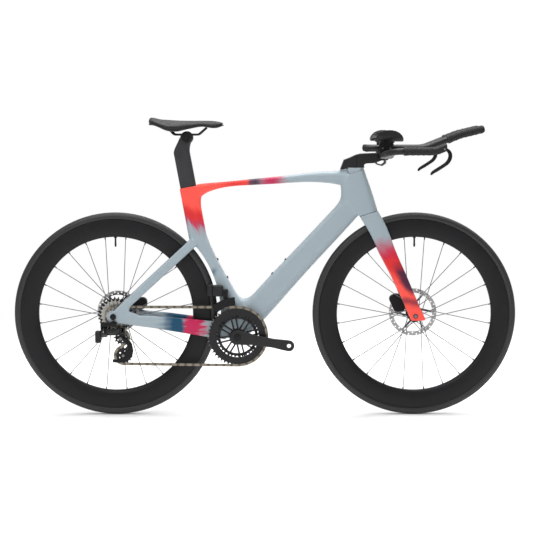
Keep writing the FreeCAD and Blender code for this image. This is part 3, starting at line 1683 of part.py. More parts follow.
def around(centre, radius, turn):
    """Point in the XZ plane about a centre. The turn runs from forward to up."""
    return centre + V(math.cos(turn), 0, math.sin(turn)) * radius


def toothed(teeth, gap_turn, height, thickness, centre, inner):
    """Toothed plate. One gap between its teeth points along gap_turn."""
    count = int(teeth)
    radius = pitch_radius(count)
    root, tip = radius - s.roller_radius - s.root_gap, radius + height
    half_root = s.root_half_width / root
    half_tip = math.pi / count - s.tip_half_width / tip
    corners = []
    for index in range(count):
        middle = gap_turn + 2 * math.pi * index / count
        for turn, distance in ((-half_tip, tip), (-half_root, root), (half_root, root), (half_tip, tip)):
            spot = around(centre, distance, middle + turn)
            corners.append((spot.x, spot.z))
    plate = extruded(corners, centre.y - thickness / 2, centre.y + thickness / 2)
    half = SIDE * thickness
    return plate.cut(rod(centre - half, centre + half, inner))


def lower_pulley_centre(lean):
    return UPPER_PULLEY + V(math.sin(lean), 0, -math.cos(lean)) * s.pulley_distance


UPPER_PULLEY = REAR_AXLE + V(s.pulley_forward, 0, -s.pulley_drop)


def chain_path(lean):
    """The chain's arcs and straight runs for one lean of the cage, each with its length in links."""
    stops = (
        (BOTTOM_BRACKET, int(s.ring_teeth), 1),
        (REAR_AXLE, int(s.drive_sprocket_teeth), 1),
        (UPPER_PULLEY, int(s.upper_pulley_teeth), -1),
        (lower_pulley_centre(lean), int(s.lower_pulley_teeth), 1),
    )
    runs = []
    for index, (centre, teeth, way) in enumerate(stops):
        after, after_teeth, after_way = stops[(index + 1) % len(stops)]
        gap = after - centre
        first, second = way * pitch_radius(teeth), after_way * pitch_radius(after_teeth)
        turn = math.atan2(gap.z, gap.x) + math.asin((first - second) / gap.Length)
        along = V(math.cos(turn), 0, math.sin(turn))
        normal = V(along.z, 0, -along.x)
        runs.append((centre + normal * first, after + normal * second, along))
    pieces = []
    for index, (centre, teeth, way) in enumerate(stops):
        arrives = runs[index - 1][1] - centre
        leaves = runs[index][0] - centre
        start = math.atan2(arrives.z, arrives.x)
        sweep = (way * (math.atan2(leaves.z, leaves.x) - start)) % (2 * math.pi)
        step = 2 * math.pi / teeth
        pieces.append(("arc", centre, teeth, start, way * step, sweep / step))
        begin, end, along = runs[index]
        pieces.append(("run", begin, along, (end - begin).Length / s.chain_pitch))
    return pieces


def link_count(lean):
    return sum(piece[-1] for piece in chain_path(lean))


def settled_lean():
    """Cage lean at which the chain closes with an even number of links."""
    low, high = math.radians(s.cage_lean_least), math.radians(s.cage_lean_most)
    middle = (low + high) / 2
    links = 2 * round(link_count(middle) / 2)
    for step in range(60):
        middle = (low + high) / 2
        if link_count(middle) > links:
            low = middle
        else:
            high = middle
    return middle, links


CAGE_LEAN, LINK_COUNT = settled_lean()
LOWER_PULLEY = lower_pulley_centre(CAGE_LEAN)


def rollers_and_gaps():
    """Roller centres around the chain, and the angle of a roller on each toothed wheel."""
    spots, gaps = [], []
    begun, index = 0, 0
    for piece in chain_path(CAGE_LEAN):
        length = piece[-1]
        if piece[0] == "arc":
            kind, centre, teeth, start, step, length = piece
            gaps.append(start + step * (index - begun))
        while index < begun + length and index < LINK_COUNT:
            ahead = index - begun
            if piece[0] == "arc":
                spots.append(around(centre, pitch_radius(teeth), start + step * ahead))
            else:
                spots.append(piece[1] + piece[2] * (ahead * s.chain_pitch))
            index += 1
        begun += length
    return spots, gaps


# outline of a side plate: along its length and over its height
PLATE_SHARES = ((1.0, 0.0), (0.55, 0.5), (-0.55, 0.5), (-1.0, 0.0), (-0.55, -0.5), (0.55, -0.5))
ROLLER_SIDES = 6


def chain_plate(start, end, near, far):
    along = (end - start).normalize()
    across = V(-along.z, 0, along.x)
    middle = (start + end) / 2
    half = (s.chain_pitch + s.chain_plate_height) / 2
    corners = []
    for long_share, high_share in PLATE_SHARES:
        spot = middle + along * (long_share * half) + across * (high_share * s.chain_plate_height)
        corners.append((spot.x, spot.z))
    return extruded(corners, near - s.chain_line, far - s.chain_line)


def chain(spots):
    """Rollers, and inner and outer plates in turn."""
    solids = []
    inner, thickness = s.chain_inner_half, s.chain_plate_thickness
    outer = inner + thickness + s.chain_plate_gap
    for index, spot in enumerate(spots):
        after = spots[(index + 1) % len(spots)]
        near = inner if index % 2 == 0 else outer
        for low in (near, -near - thickness):
            solids.append(chain_plate(spot, after, low, low + thickness))
        corners = []
        for side in range(ROLLER_SIDES):
            corner = around(spot, s.roller_radius, 2 * math.pi * side / ROLLER_SIDES)
            corners.append((corner.x, corner.z))
        solids.append(extruded(corners, -s.chain_line - inner, -s.chain_line + inner))
    return Part.makeCompound(solids)


chain_spots, gap_turns = rollers_and_gaps()
ring_gap_turn, sprocket_gap_turn, upper_gap_turn, lower_gap_turn = gap_turns
add_feature("chain", chain(chain_spots))


def sprocket_offset(index):
    return -s.first_sprocket_offset + index * s.sprocket_pitch


def cassette():
    """Twelve sprockets on one sleeve. The two largest are drilled."""
    bore = s.freehub_radius + s.seat_gap
    last = len(SPROCKET_TEETH) - 1
    start = REAR_AXLE + SIDE * (sprocket_offset(0) - s.sprocket_pitch / 2)
    end = REAR_AXLE + SIDE * (sprocket_offset(last) + s.sprocket_thickness / 2)
    plates = []
    for index, teeth in enumerate(SPROCKET_TEETH):
        centre = REAR_AXLE + SIDE * sprocket_offset(index)
        turn = sprocket_gap_turn
        plate = toothed(teeth, turn, s.tooth_height, s.sprocket_thickness, centre, bore)
        if index > last - 2:
            half = SIDE * s.sprocket_thickness
            for hole in range(int(s.sprocket_hole_count)):
                spot = around(centre, s.sprocket_hole_ring, 2 * math.pi * hole / s.sprocket_hole_count)
                plate = plate.cut(rod(spot - half, spot + half, s.sprocket_hole_radius))
        plates.append(plate)
    return ring(start, end, s.cassette_sleeve_radius, bore).fuse(plates)


def freehub_body():
    start = REAR_AXLE + SIDE * (sprocket_offset(0) - s.sprocket_pitch / 2)
    end = REAR_AXLE - SIDE * (s.rear_flange_right + s.hub_flange_thickness + s.moving_gap)
    return ring(start, end, s.freehub_radius, s.hub_cap_radius + s.running_gap)


CRANK_TURN = -math.radians(s.crank_droop)
SPIDER_PLANE = DRIVE_LINE + BOTTOM_BRACKET


def outer_chainring():
    """Toothed ring with its paired spider arms and hub."""
    shape = toothed(
        s.ring_teeth,
        ring_gap_turn,
        s.tooth_height,
        s.ring_thickness,
        SPIDER_PLANE,
        pitch_radius(s.ring_teeth) - s.ring_band,
    )
    hub_start = BOTTOM_BRACKET - SIDE * s.spider_inner
    hub_end = BOTTOM_BRACKET - SIDE * (s.crank_inner - s.seat_gap)
    bore = s.spindle_radius + s.seat_gap
    pieces = [ring(hub_start, hub_end, s.spider_hub_radius, bore)]
    count = int(s.spider_arm_count)
    lean = math.radians(s.spider_arm_lean)
    for index in range(count):
        turn = CRANK_TURN + 2 * math.pi * (index + 0.5) / count
        tilt = lean if index % 2 == 0 else -lean
        start = around(SPIDER_PLANE, s.spider_hub_radius - s.ring_thickness, turn - tilt)
        end = around(SPIDER_PLANE, pitch_radius(s.ring_teeth) - s.ring_band + s.ring_thickness, turn + tilt)
        pieces.append(blade(start, end, SIDE, s.spider_arm_width, s.spider_thickness))
    return shape.fuse(pieces)


def inner_chainring():
    """Small ring, on short posts that stand on the spider."""
    centre = SPIDER_PLANE + SIDE * s.ring_gap
    inside = pitch_radius(s.inner_ring_teeth) - s.inner_ring_band
    shape = toothed(s.inner_ring_teeth, CRANK_TURN, s.tooth_height, s.ring_thickness, centre, inside)
    posts = []
    count = int(s.spider_arm_count)
    share = (inside + s.ring_post_radius - s.spider_hub_radius) / (
        pitch_radius(s.ring_teeth) - s.ring_band - s.spider_hub_radius
    )
    lean = math.radians(s.spider_arm_lean)
    for index in range(0, count, 2):
        turn = CRANK_TURN + 2 * math.pi * (index + 0.5) / count + lerp(-lean, lean, share)
        spot = around(SPIDER_PLANE, inside + s.ring_post_radius, turn)
        foot = spot + SIDE * (s.spider_thickness / 2 + s.seat_gap)
        posts.append(rod(foot, spot + SIDE * s.ring_gap, s.ring_post_radius))
    return shape.fuse(posts)


# half width down a crank arm, from the axle to the pedal eye
CRANK_SHARES = ((0.0, 1.0), (0.12, 0.96), (0.3, 0.72), (0.7, 0.62), (0.92, 0.74), (1.0, 0.76))


def crank_arm(way):
    """Arm on one side, +1 for the left, with a flat pedal eye."""
    turn = CRANK_TURN if way < 0 else CRANK_TURN + math.pi
    along = V(math.cos(turn), 0, math.sin(turn))
    up = V(-along.z, 0, along.x)
    eye = BOTTOM_BRACKET + along * s.crank_length
    near, far = way * s.crank_inner, way * s.crank_outer
    above, below = [], []
    for share, wide in CRANK_SHARES:
        middle = BOTTOM_BRACKET + along * (share * s.crank_length)
        above.append(middle + up * (wide * s.crank_half_width))
        below.append(middle - up * (wide * s.crank_half_width))
    outline = [(spot.x, spot.z) for spot in above + below[::-1]]
    shape = extruded(outline, near, far)
    shape = shape.fuse(
        [
            rod(BOTTOM_BRACKET + SIDE * near, BOTTOM_BRACKET + SIDE * far, s.crank_half_width),
            rod(eye + SIDE * near, eye + SIDE * far, s.crank_eye_radius),
        ]
    ).removeSplitter()
    hole = rod(eye + SIDE * (near / 2), eye + SIDE * (far * 2), s.pedal_hole_radius)
    recess = rod(
        eye + SIDE * (far - way * s.pedal_washer_depth), eye + SIDE * (far * 2), s.pedal_washer_radius
    )
    return shape.cut(hole).cut(recess)


def crank_arm_right():
    """Right arm, and the spindle that stands on its inner face."""
    start = BOTTOM_BRACKET - SIDE * (s.crank_inner - s.seat_gap)
    spindle = rod(start, BOTTOM_BRACKET + SIDE * s.crank_outer, s.spindle_radius)
    return Part.makeCompound([crank_arm(-1), spindle])


def crank_arm_left():
    bore = s.spindle_radius + s.seat_gap
    start = BOTTOM_BRACKET + SIDE * (s.bb_shell_width / 2 + s.moving_gap)
    spacer = rod(start, BOTTOM_BRACKET + SIDE * s.crank_inner, s.bb_bore_radius)
    hole = rod(BOTTOM_BRACKET, BOTTOM_BRACKET + SIDE * (s.crank_outer * 2), bore)
    return crank_arm(1).fuse(spacer).cut(hole)


add_feature("cassette", cassette())
add_feature("freehub_body", freehub_body())
add_feature("outer_chainring", outer_chainring())
add_feature("inner_chainring", inner_chainring())
add_feature("crank_arm_right", crank_arm_right())
add_feature("crank_arm_left", crank_arm_left())

# Rear derailleur

LINK_SLANT = math.radians(s.link_slant)
PIVOT_UP = V(0, math.cos(LINK_SLANT), math.sin(LINK_SLANT))
PIVOT_IN = V(0, math.sin(LINK_SLANT), -math.cos(LINK_SLANT))
OUTER_REAR = REAR_AXLE + V(-s.link_setback, -s.link_offset, -s.link_drop)
INNER_REAR = OUTER_REAR + PIVOT_IN * s.link_spacing
LINK_RUN = FORWARD * s.link_length
HANGER_BOLT = REAR_AXLE + V(s.hanger_forward, 0, -s.hanger_drop)
DROPOUT_OUTSIDE = s.hub_rear_half + s.dropout_thickness


def slanted_box(origin, low_x, high_x, low_in, high_in, low_up, high_up):
    """Box along X and the slanted pivot directions, from a pivot point."""
    corner = origin + FORWARD * low_x + PIVOT_IN * low_in + PIVOT_UP * low_up
    corners = [
        corner,
        corner + FORWARD * (high_x - low_x),
        corner + FORWARD * (high_x - low_x) + PIVOT_IN * (high_in - low_in),
        corner + PIVOT_IN * (high_in - low_in),
    ]
    solid = Part.Face(Part.makePolygon(corners + corners[:1])).extrude(PIVOT_UP * (high_up - low_up))
    return outward(solid)


def pivot_rod(spot, low, high, radius):
    return rod(spot + PIVOT_UP * low, spot + PIVOT_UP * high, radius)


def parallel_link(rear):
    """Flat link between two slanted pivots."""
    half = s.link_height / 2
    shape = slanted_box(
        rear, 0, s.link_length, -s.link_thickness / 2, s.link_thickness / 2, -half, half
    )
    ends = [rear, rear + LINK_RUN]
    shape = shape.fuse([pivot_rod(end, -half, half, s.link_end_radius) for end in ends])
    for end in ends:
        shape = shape.cut(pivot_rod(end, -s.link_height, s.link_height, s.link_pin_radius + s.running_gap))
    return shape


def clevis(outer, inner, web_way):
    """Two ears and their web, with the pins of both links."""
    inside = s.link_height / 2 + s.moving_gap
    outside = inside + s.ear_thickness
    reach = web_way * s.ear_reach
    pieces = []
    for low, high in ((inside, outside), (-outside, -inside)):
        pieces.append(pivot_rod(outer, low, high, s.ear_radius))
        pieces.append(pivot_rod(inner, low, high, s.ear_radius))
        pieces.append(
            slanted_box(
                outer,
                min(-s.ear_radius * web_way, reach),
                max(-s.ear_radius * web_way, reach),
                0,
                s.link_spacing,
                low,
                high,
            )
        )
        pieces.append(
            slanted_box(
                outer, min(0, reach), max(0, reach), -s.ear_radius, s.link_spacing + s.ear_radius, low, high
            )
        )
    back = reach - web_way * s.ear_thickness
    pieces.append(
        slanted_box(
            outer, min(back, reach), max(back, reach), -s.ear_radius, s.link_spacing + s.ear_radius,
            -outside, outside,
        )
    )
    for spot in (outer, inner):
        pieces.append(pivot_rod(spot, -outside, outside, s.link_pin_radius))
    return pieces[0].fuse(pieces[1:])


def derailleur_hanger(stays):
    """Small lug under the right dropout."""
    start = SIDE * -DROPOUT_OUTSIDE
    end = SIDE * -(DROPOUT_OUTSIDE - s.hanger_thickness)
    lug = rod(HANGER_BOLT + start, HANGER_BOLT + end, s.hanger_radius)
    neck = rod(REAR_AXLE + start, REAR_AXLE + end, s.dropout_radius + s.hanger_radius / 2)
    below = Part.makeBox(
        s.hanger_radius * 2,
        s.hanger_thickness,
        s.hanger_drop,
        HANGER_BOLT + V(-s.hanger_radius, -DROPOUT_OUTSIDE, 0),
    )
    hole = rod(HANGER_BOLT + start * 2, HANGER_BOLT, s.hanger_bolt_radius + s.seat_gap)
    return largest(lug.fuse(neck.common(below)).cut(hole).cut(stays))


def rear_derailleur_knuckle(stays):
    """Upper knuckle: bolted to the hanger, it reaches back to the links' rear pivots."""
    inner_face = DROPOUT_OUTSIDE + s.moving_gap
    outer_face = inner_face + s.knuckle_thickness
    boss = rod(HANGER_BOLT - SIDE * outer_face, HANGER_BOLT - SIDE * inner_face, s.hanger_radius)
    bolt_end = DROPOUT_OUTSIDE - s.hanger_thickness
    bolt = rod(HANGER_BOLT - SIDE * outer_face, HANGER_BOLT - SIDE * bolt_end, s.hanger_bolt_radius)
    rear = OUTER_REAR.x - s.ear_reach
    low = OUTER_REAR.z + s.link_height
    bridge = Part.makeBox(
        HANGER_BOLT.x - rear, s.knuckle_thickness, s.bridge_height, V(rear, -outer_face, low)
    )
    drop = Part.makeBox(
        s.ear_thickness, s.knuckle_thickness, s.bridge_height, V(rear, -outer_face, low - s.bridge_height / 2)
    )
    return clevis(OUTER_REAR, INNER_REAR, -1).fuse([boss, bolt, bridge, drop]).cut(stays)


def rd_lower_knuckle():
    """Lower knuckle: it carries the cage's pivot, which is also the upper pulley's axle."""
    spot = UPPER_PULLEY
    boss = rod(spot - SIDE * s.cage_boss_outer, spot - SIDE * s.cage_boss_inner, s.cage_boss_radius)
    pin_end = s.chain_line - s.cage_half_gap - s.cage_plate_thickness / 2
    pin = rod(spot - SIDE * s.cage_boss_outer, spot - SIDE * pin_end, s.pulley_bore_radius)
    return clevis(OUTER_REAR + LINK_RUN, INNER_REAR + LINK_RUN, 1).fuse([boss, pin])


# outline of a cage plate: forward and down from the upper pulley, over the pulleys' distance
CAGE_SHARES = (
    (-0.15, 0.06), (-0.06, -0.14), (0.15, -0.06), (0.36, 0.14), (0.52, 0.42), (0.56, 0.8), (0.46, 1.14),
    (0.2, 1.37), (-0.25, 1.38), (-0.62, 1.32), (-0.6, 1.18), (-0.2, 1.2), (-0.16, 1.0), (0.02, 0.84),
    (0.24, 0.7), (0.26, 0.42), (0.1, 0.2),
)


def cage_plate(offset, bore):
    """Crescent plate that passes in front of the lower pulley and under it."""
    half = s.cage_plate_thickness / 2
    start, end = SIDE * (offset - half), SIDE * (offset + half)
    run = LOWER_PULLEY - UPPER_PULLEY
    fore = V(-run.z, 0, run.x)
    corners = [UPPER_PULLEY + fore * ahead + run * down for ahead, down in CAGE_SHARES]
    plate = extruded([(spot.x, spot.z) for spot in corners], offset - half, offset + half)
    ends = [rod(spot + start, spot + end, s.cage_end_radius) for spot in (UPPER_PULLEY, LOWER_PULLEY)]
    plate = plate.fuse(ends).removeSplitter()
    return plate.cut(rod(UPPER_PULLEY + start * 2, UPPER_PULLEY + end / 2, bore))


def rd_cage():
    """Two plates joined by the lower pulley's axle."""
    bore = s.pulley_bore_radius + s.running_gap
    outer, inner = -s.chain_line - s.cage_half_gap, -s.chain_line + s.cage_half_gap
    half = s.cage_plate_thickness / 2
    face = s.cage_boss_inner - s.moving_gap
    hub = ring(
        UPPER_PULLEY - SIDE * face, UPPER_PULLEY + SIDE * (outer - half), s.cage_boss_radius, bore
    )
    axle = rod(
        LOWER_PULLEY + SIDE * (outer - half * 2), LOWER_PULLEY + SIDE * (inner + half), s.pulley_bore_radius
    )
    return cage_plate(outer, bore).fuse([cage_plate(inner, bore), hub, axle])


def pulley(centre, teeth, gap_turn):
    """Jockey wheel with a wider hub."""
    bore = s.pulley_bore_radius + s.running_gap
    middle = centre + DRIVE_LINE
    plate = toothed(teeth, gap_turn, s.pulley_tooth_height, s.pulley_thickness, middle, bore)
    half = SIDE * (s.cage_half_gap - s.cage_plate_thickness / 2 - s.moving_gap)
    hub = ring(middle - half, middle + half, s.pulley_hub_radius, bore)
    plate = plate.fuse(hub)
    holes = int(s.pulley_hole_count)
    thick = SIDE * s.pulley_thickness
    for index in range(holes):
        spot = around(middle, s.pulley_hole_ring, 2 * math.pi * index / holes)
        plate = plate.cut(rod(spot - thick, spot + thick, s.pulley_hole_radius))
    return plate


right_stays = Part.makeCompound([mirrored(left_chainstay), mirrored(left_seatstay)])
add_feature("derailleur_hanger", derailleur_hanger(right_stays))
add_feature("rear_derailleur_knuckle", rear_derailleur_knuckle(right_stays))
add_feature("rd_outer_link", parallel_link(OUTER_REAR))
add_feature("rd_inner_link", parallel_link(INNER_REAR))
add_feature("rd_lower_knuckle", rd_lower_knuckle())
add_feature("rd_cage", rd_cage())
add_feature("upper_pulley", pulley(UPPER_PULLEY, s.upper_pulley_teeth, upper_gap_turn))
add_feature("lower_pulley", pulley(LOWER_PULLEY, s.lower_pulley_teeth, lower_gap_turn))

# Front derailleur

FD_HINGE = BOTTOM_BRACKET + V(0, -s.fd_hinge_offset, s.fd_pivot_height)
FD_BRACKET_FRONT = BOTTOM_BRACKET.x - s.fd_bracket_setback
FD_BRACKET_REAR = FD_BRACKET_FRONT - s.fd_bracket_length


def fd_plate(offset):
    """Side plate of the cage, that follows the ring's teeth."""
    half = s.fd_plate_thickness / 2
    start, end = SIDE * (offset - half), SIDE * (offset + half)
    band = ring(BOTTOM_BRACKET + start, BOTTOM_BRACKET + end, s.fd_cage_outer, s.fd_cage_inner)
    first, last = math.radians(s.fd_cage_first), math.radians(s.fd_cage_last)
    far = s.fd_cage_outer * 2
    corners = [BOTTOM_BRACKET, around(BOTTOM_BRACKET, far, first), around(BOTTOM_BRACKET, far, last)]
    wedge = extruded([(spot.x, spot.z) for spot in corners], offset - half, offset + half)
    return band.common(wedge)


def fd_cage():
    """Two plates, the bridge over the chain and the bracket up to the hinge."""
    outer, inner = -s.chain_line - s.fd_cage_half_gap, -s.chain_line + s.fd_cage_half_gap
    bridge_start = BOTTOM_BRACKET + SIDE * outer
    bridge_end = BOTTOM_BRACKET + SIDE * inner
    band = ring(bridge_start, bridge_end, s.fd_cage_outer, s.fd_cage_outer - s.fd_plate_thickness)
    first, last = math.radians(s.fd_bridge_first), math.radians(s.fd_bridge_last)
    far = s.fd_cage_outer * 2
    corners = [BOTTOM_BRACKET, around(BOTTOM_BRACKET, far, first), around(BOTTOM_BRACKET, far, last)]
    bridge = band.common(extruded([(spot.x, spot.z) for spot in corners], outer, inner))
    half = s.fd_bracket_half
    foot = BOTTOM_BRACKET.z + s.fd_cage_outer - s.fd_bracket_foot
    arm = Part.makeBox(
        s.fd_bracket_length, half * 2, FD_HINGE.z - foot, V(FD_BRACKET_REAR, FD_HINGE.y - half, foot)
    )
    inside = s.fd_cage_outer - s.fd_plate_thickness
    under = ring(bridge_start - SIDE * far, bridge_end + SIDE * far, far, inside)
    arm = arm.common(under)
    eye_rear = V(FD_BRACKET_REAR, FD_HINGE.y, FD_HINGE.z)
    eye_front = V(FD_BRACKET_FRONT, FD_HINGE.y, FD_HINGE.z)
    shape = fd_plate(outer).fuse([fd_plate(inner), bridge, arm, rod(eye_rear, eye_front, half)])
    hole = rod(eye_rear - FORWARD * half, eye_front + FORWARD * half, s.fd_pin_radius + s.running_gap)
    return shape.cut(hole)


def front_derailleur_body():
    """Motor body on the seat tube, with the hinge pin that reaches forward."""
    front = FD_BRACKET_REAR - s.moving_gap
    low = FD_HINGE.z - s.fd_body_height / 2
    outer = FD_HINGE.y - s.fd_bracket_half
    block = Part.makeBox(s.fd_body_length, -outer, s.fd_body_height, V(front - s.fd_body_length, outer, low))
    pin = rod(
        V(front - s.fd_bracket_length, FD_HINGE.y, FD_HINGE.z),
        V(FD_BRACKET_FRONT + s.fd_pin_radius, FD_HINGE.y, FD_HINGE.z),
        s.fd_pin_radius,
    )
    arch = SIDE * s.cut_overrun
    wheel = rod(REAR_AXLE - arch, REAR_AXLE + arch, s.tyre_outer_radius + s.wheel_arch_gap)
    reach = s.cut_overrun * 2
    inner_room = Part.makeBox(
        reach, s.fd_body_inner, reach, V(front - reach, -s.fd_body_inner, low - s.cut_overrun)
    )
    shape = block.fuse(pin).cut(frame_shape).cut(wheel.common(inner_room))
    return largest(shape)


def batteries():
    """One small pack behind each derailleur."""
    front = FD_BRACKET_REAR - s.moving_gap - s.fd_body_length - s.seat_gap
    low = FD_HINGE.z - s.fd_body_height / 2
    upper = Part.makeBox(
        s.battery_depth, s.battery_width, s.battery_height, V(front - s.battery_depth, -s.battery_offset, low)
    )
    rear = OUTER_REAR.x - s.ear_reach - s.seat_gap
    lower = Part.makeBox(
        s.battery_depth,
        s.battery_width,
        s.battery_height,
        V(rear - s.battery_depth, OUTER_REAR.y - s.ear_radius, OUTER_REAR.z - s.battery_height),
    )
    return Part.makeCompound([upper, lower])


add_feature("fd_cage", fd_cage())
add_feature("front_derailleur_body", front_derailleur_body())
add_feature("derailleur_batteries", batteries())

# Bottle bolts

SEAT_BOLT_SHARES = (0.37, 0.5)
DOWN_BOLT_SHARES = (0.363, 0.465)


def surface_bolt(inside, out):
    """Round bolt head on the frame's skin."""
    sight = Part.LineSegment(inside, inside + out * (s.cut_overrun * 2)).toShape().cut(frame_shape)
    skin = min((vertex.Point for vertex in sight.Vertexes), key=lambda point: (point - inside).Length)
    head = rod(skin - out * s.bottle_bolt_height, skin + out * s.bottle_bolt_height, s.bottle_bolt_radius)
    return head.cut(frame_shape)


def bottle_bolts():
    bolts = []
    down_meets = steer_point(lerp(CROWN, HEAD_TOP, DOWN_MEETS_SHARE))
    down_out = (down_meets - BOTTOM_BRACKET).normalize().cross(SIDE)
    for share in DOWN_BOLT_SHARES:
        bolts.append(surface_bolt(lerp(BOTTOM_BRACKET, down_meets, share), down_out))
    seat_spots = [lerp(BOTTOM_BRACKET, SEAT_TOP, share) for share in SEAT_BOLT_SHARES]
    seat_out = SIDE.cross((seat_spots[1] - seat_spots[0]).normalize())
    for spot in seat_spots:
        bolts.append(surface_bolt(spot, seat_out))
    return Part.makeCompound(bolts)


add_feature("bottle_bolts", bottle_bolts())

# Checks and files


def finish():
    doc.recompute()
    for item in doc.Objects:
        if "Invalid" in item.State or "Error" in item.State:
            raise RuntimeError("%s failed: %s" % (item.Label, item.State))
    os.makedirs("parts", exist_ok=True)
    for item in nodes:
        if item.Shape.isNull() or not item.Shape.isValid():
            raise RuntimeError("%s has no valid shape" % item.Label)
        print(item.Label, len(item.Shape.Solids), round(item.Shape.Volume))
        item.Shape.exportStep("parts/%s.step" % item.Label)


finish()
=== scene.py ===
import json
import math

import bmesh
import bpy
import numpy as np
from mathutils import Matrix, Vector
from mathutils.bvhtree import BVHTree


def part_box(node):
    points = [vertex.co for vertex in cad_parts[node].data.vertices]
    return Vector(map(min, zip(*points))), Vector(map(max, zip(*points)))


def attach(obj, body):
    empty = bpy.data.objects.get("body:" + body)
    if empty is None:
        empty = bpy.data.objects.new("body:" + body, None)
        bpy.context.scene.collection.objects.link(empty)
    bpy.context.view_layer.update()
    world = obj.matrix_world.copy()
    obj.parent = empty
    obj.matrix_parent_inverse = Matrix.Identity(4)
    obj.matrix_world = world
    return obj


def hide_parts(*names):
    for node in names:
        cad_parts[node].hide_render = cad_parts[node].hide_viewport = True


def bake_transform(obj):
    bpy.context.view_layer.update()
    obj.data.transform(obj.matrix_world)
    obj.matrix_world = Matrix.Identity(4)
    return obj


bl_info = {
    "name": "Time Trial Bicycle",
    "version": (1, 0, 0),
    "blender": (4, 5, 0),
    "location": "View3D > Sidebar > Time Trial Bicycle",
    "description": "Dresses the solid bicycle with smooth shells, soft pads, fittings and finishes",
    "category": "Object",
}

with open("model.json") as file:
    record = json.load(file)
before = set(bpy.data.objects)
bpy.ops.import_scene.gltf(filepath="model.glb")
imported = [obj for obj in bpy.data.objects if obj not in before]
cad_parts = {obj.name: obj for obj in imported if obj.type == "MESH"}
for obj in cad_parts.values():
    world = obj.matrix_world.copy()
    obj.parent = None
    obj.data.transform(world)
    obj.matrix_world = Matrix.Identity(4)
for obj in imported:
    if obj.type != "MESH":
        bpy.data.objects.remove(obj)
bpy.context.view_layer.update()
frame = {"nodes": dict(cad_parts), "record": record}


# Places on the bicycle, in metres

def centre_of(node):
    low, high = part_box(node)
    return (Vector(low) + Vector(high)) / 2


REAR_AXLE = Vector((centre_of("rear_tyre").x, 0, centre_of("rear_tyre").z))
FRONT_AXLE = Vector((centre_of("front_tyre").x, 0, centre_of("front_tyre").z))
TYRE_RADIUS = (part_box("front_tyre")[1][2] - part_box("front_tyre")[0][2]) / 2
TYRE_HALF_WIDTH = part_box("front_tyre")[1][1]
RIM_RADIUS = (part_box("front_rim")[1][2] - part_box("front_rim")[0][2]) / 2
RIM_HALF_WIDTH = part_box("front_rim")[1][1]
CRANK_AXIS = Vector((centre_of("outer_chainring").x, 0, centre_of("outer_chainring").z))
RING_RADIUS = (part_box("outer_chainring")[1][0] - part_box("outer_chainring")[0][0]) / 2
SIDE = Vector((0, 1, 0))
UP = Vector((0, 0, 1))
RIGHT = -SIDE

# Wheels
RIM_DEPTH = 0.059
RIM_INNER_RADIUS = RIM_RADIUS - RIM_DEPTH
TYRE_WALL = 0.0017
TYRE_BEAD = 0.004
TYRE_OUTER_STEPS = 26
TYRE_INNER_STEPS = 12
NIPPLE_SUNK = 0.002
VALVE_REACH = 0.030
CAP_RADII = (0.0024, 0.0038)
CAP_LENGTH = 0.010
CAP_OVERLAP = 0.002
# rim from its inner edge outwards: share of the depth, share of the half width
RIM_SHARES = (
    (0.0, 0.20), (0.015, 0.36), (0.08, 0.62), (0.25, 0.855), (0.5, 0.97), (0.76, 1.0), (0.93, 0.975),
    (0.985, 0.955), (1.0, 0.945), (1.0, 0.90), (1.0, 0.74), (0.985, 0.73), (0.90, 0.73), (0.88, 0.52),
    (0.8, 0.33),
)

# Grips and extensions: forward and up along a run, distance from the middle, and radii
GRIP_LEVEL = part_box("brake_hoods")[0][2] + 0.013
GRIP_SPACING = 0.195
GRIP_RUN = ((0.443, GRIP_LEVEL), (0.532, GRIP_LEVEL))
GRIP_RADIUS = 0.0126
EXTENSION_LEVEL = 0.8915
EXTENSION_SPACING = 0.054
EXTENSION_RADIUS = 0.0111
EXTENSION_RUN = ((0.59787, 0.91962), (0.64142, 0.93686), (0.7111, 0.95380))
EXTENSION_TIP = ((0.7090, 0.95329), (0.7140, 0.95450))
EXTENSION_REAR = ((0.3400, EXTENSION_LEVEL), (0.3320, EXTENSION_LEVEL))
TAPE_STEP = 0.001
EASE_ROUNDS = 24
TAPE_THICKNESS = 0.0016
TAPE_BAND = 0.011
BUTTON_RADIUS = 0.0055
BUTTON_REACH = 0.008
PLUG_DOME = 0.006
PLUG_WALL = 0.0006
PLUG_SHARES = (0, 0.25, 0.5, 0.7, 0.85, 0.95, 0.99)

# Fillets: corners on the middle plane, the frame's sides and the fork's sides, each with its reach
FRAME_CORNERS = (
    ((-0.205, 0, 0.735), 0.095),
    ((0.250, 0, 0.757), 0.090),
    ((0.242, 0, 0.700), 0.080),
    ((-0.062, 0, 0.392), 0.090),
    ((0.330, 0, 0.690), 0.030),
)
FRAME_SIDE_CORNERS = (
    ((-0.225, 0.022, 0.575), 0.080),
    ((-0.140, 0.026, 0.290), 0.075),
    ((-0.452, 0.066, 0.358), 0.050),
)
FORK_CORNERS = (
    ((0.395, 0.026, 0.640), 0.060),
    ((0.490, 0.050, 0.365), 0.030),
)
FILLET_EDGE = 1.6
FILLET_PACE = 0.9
FILLET_CLEARANCE = 0.007
FILLET_TOUCH = 0.0002
FILLET_LEAST_SHARE = 0.03
SIDE_FILLET_PART = 3
NORMALS_EVERY = 25
CRUMB_SHARE = 0.02
POST_GAP = 0.0007
POST_REACH = 0.0025
POST_BITE = 0.0009
FAIRING_BOX = (Vector((0.2440, -0.0182, 0.8040)), Vector((0.2752, 0.0182, 0.8170)))
FAIRING_BEVEL = 0.003
FRAME_TRIANGLES = 190000
FORK_TRIANGLES = 150000
PART_TRIANGLES = 60000
SOFT_REGAIN = 0.012

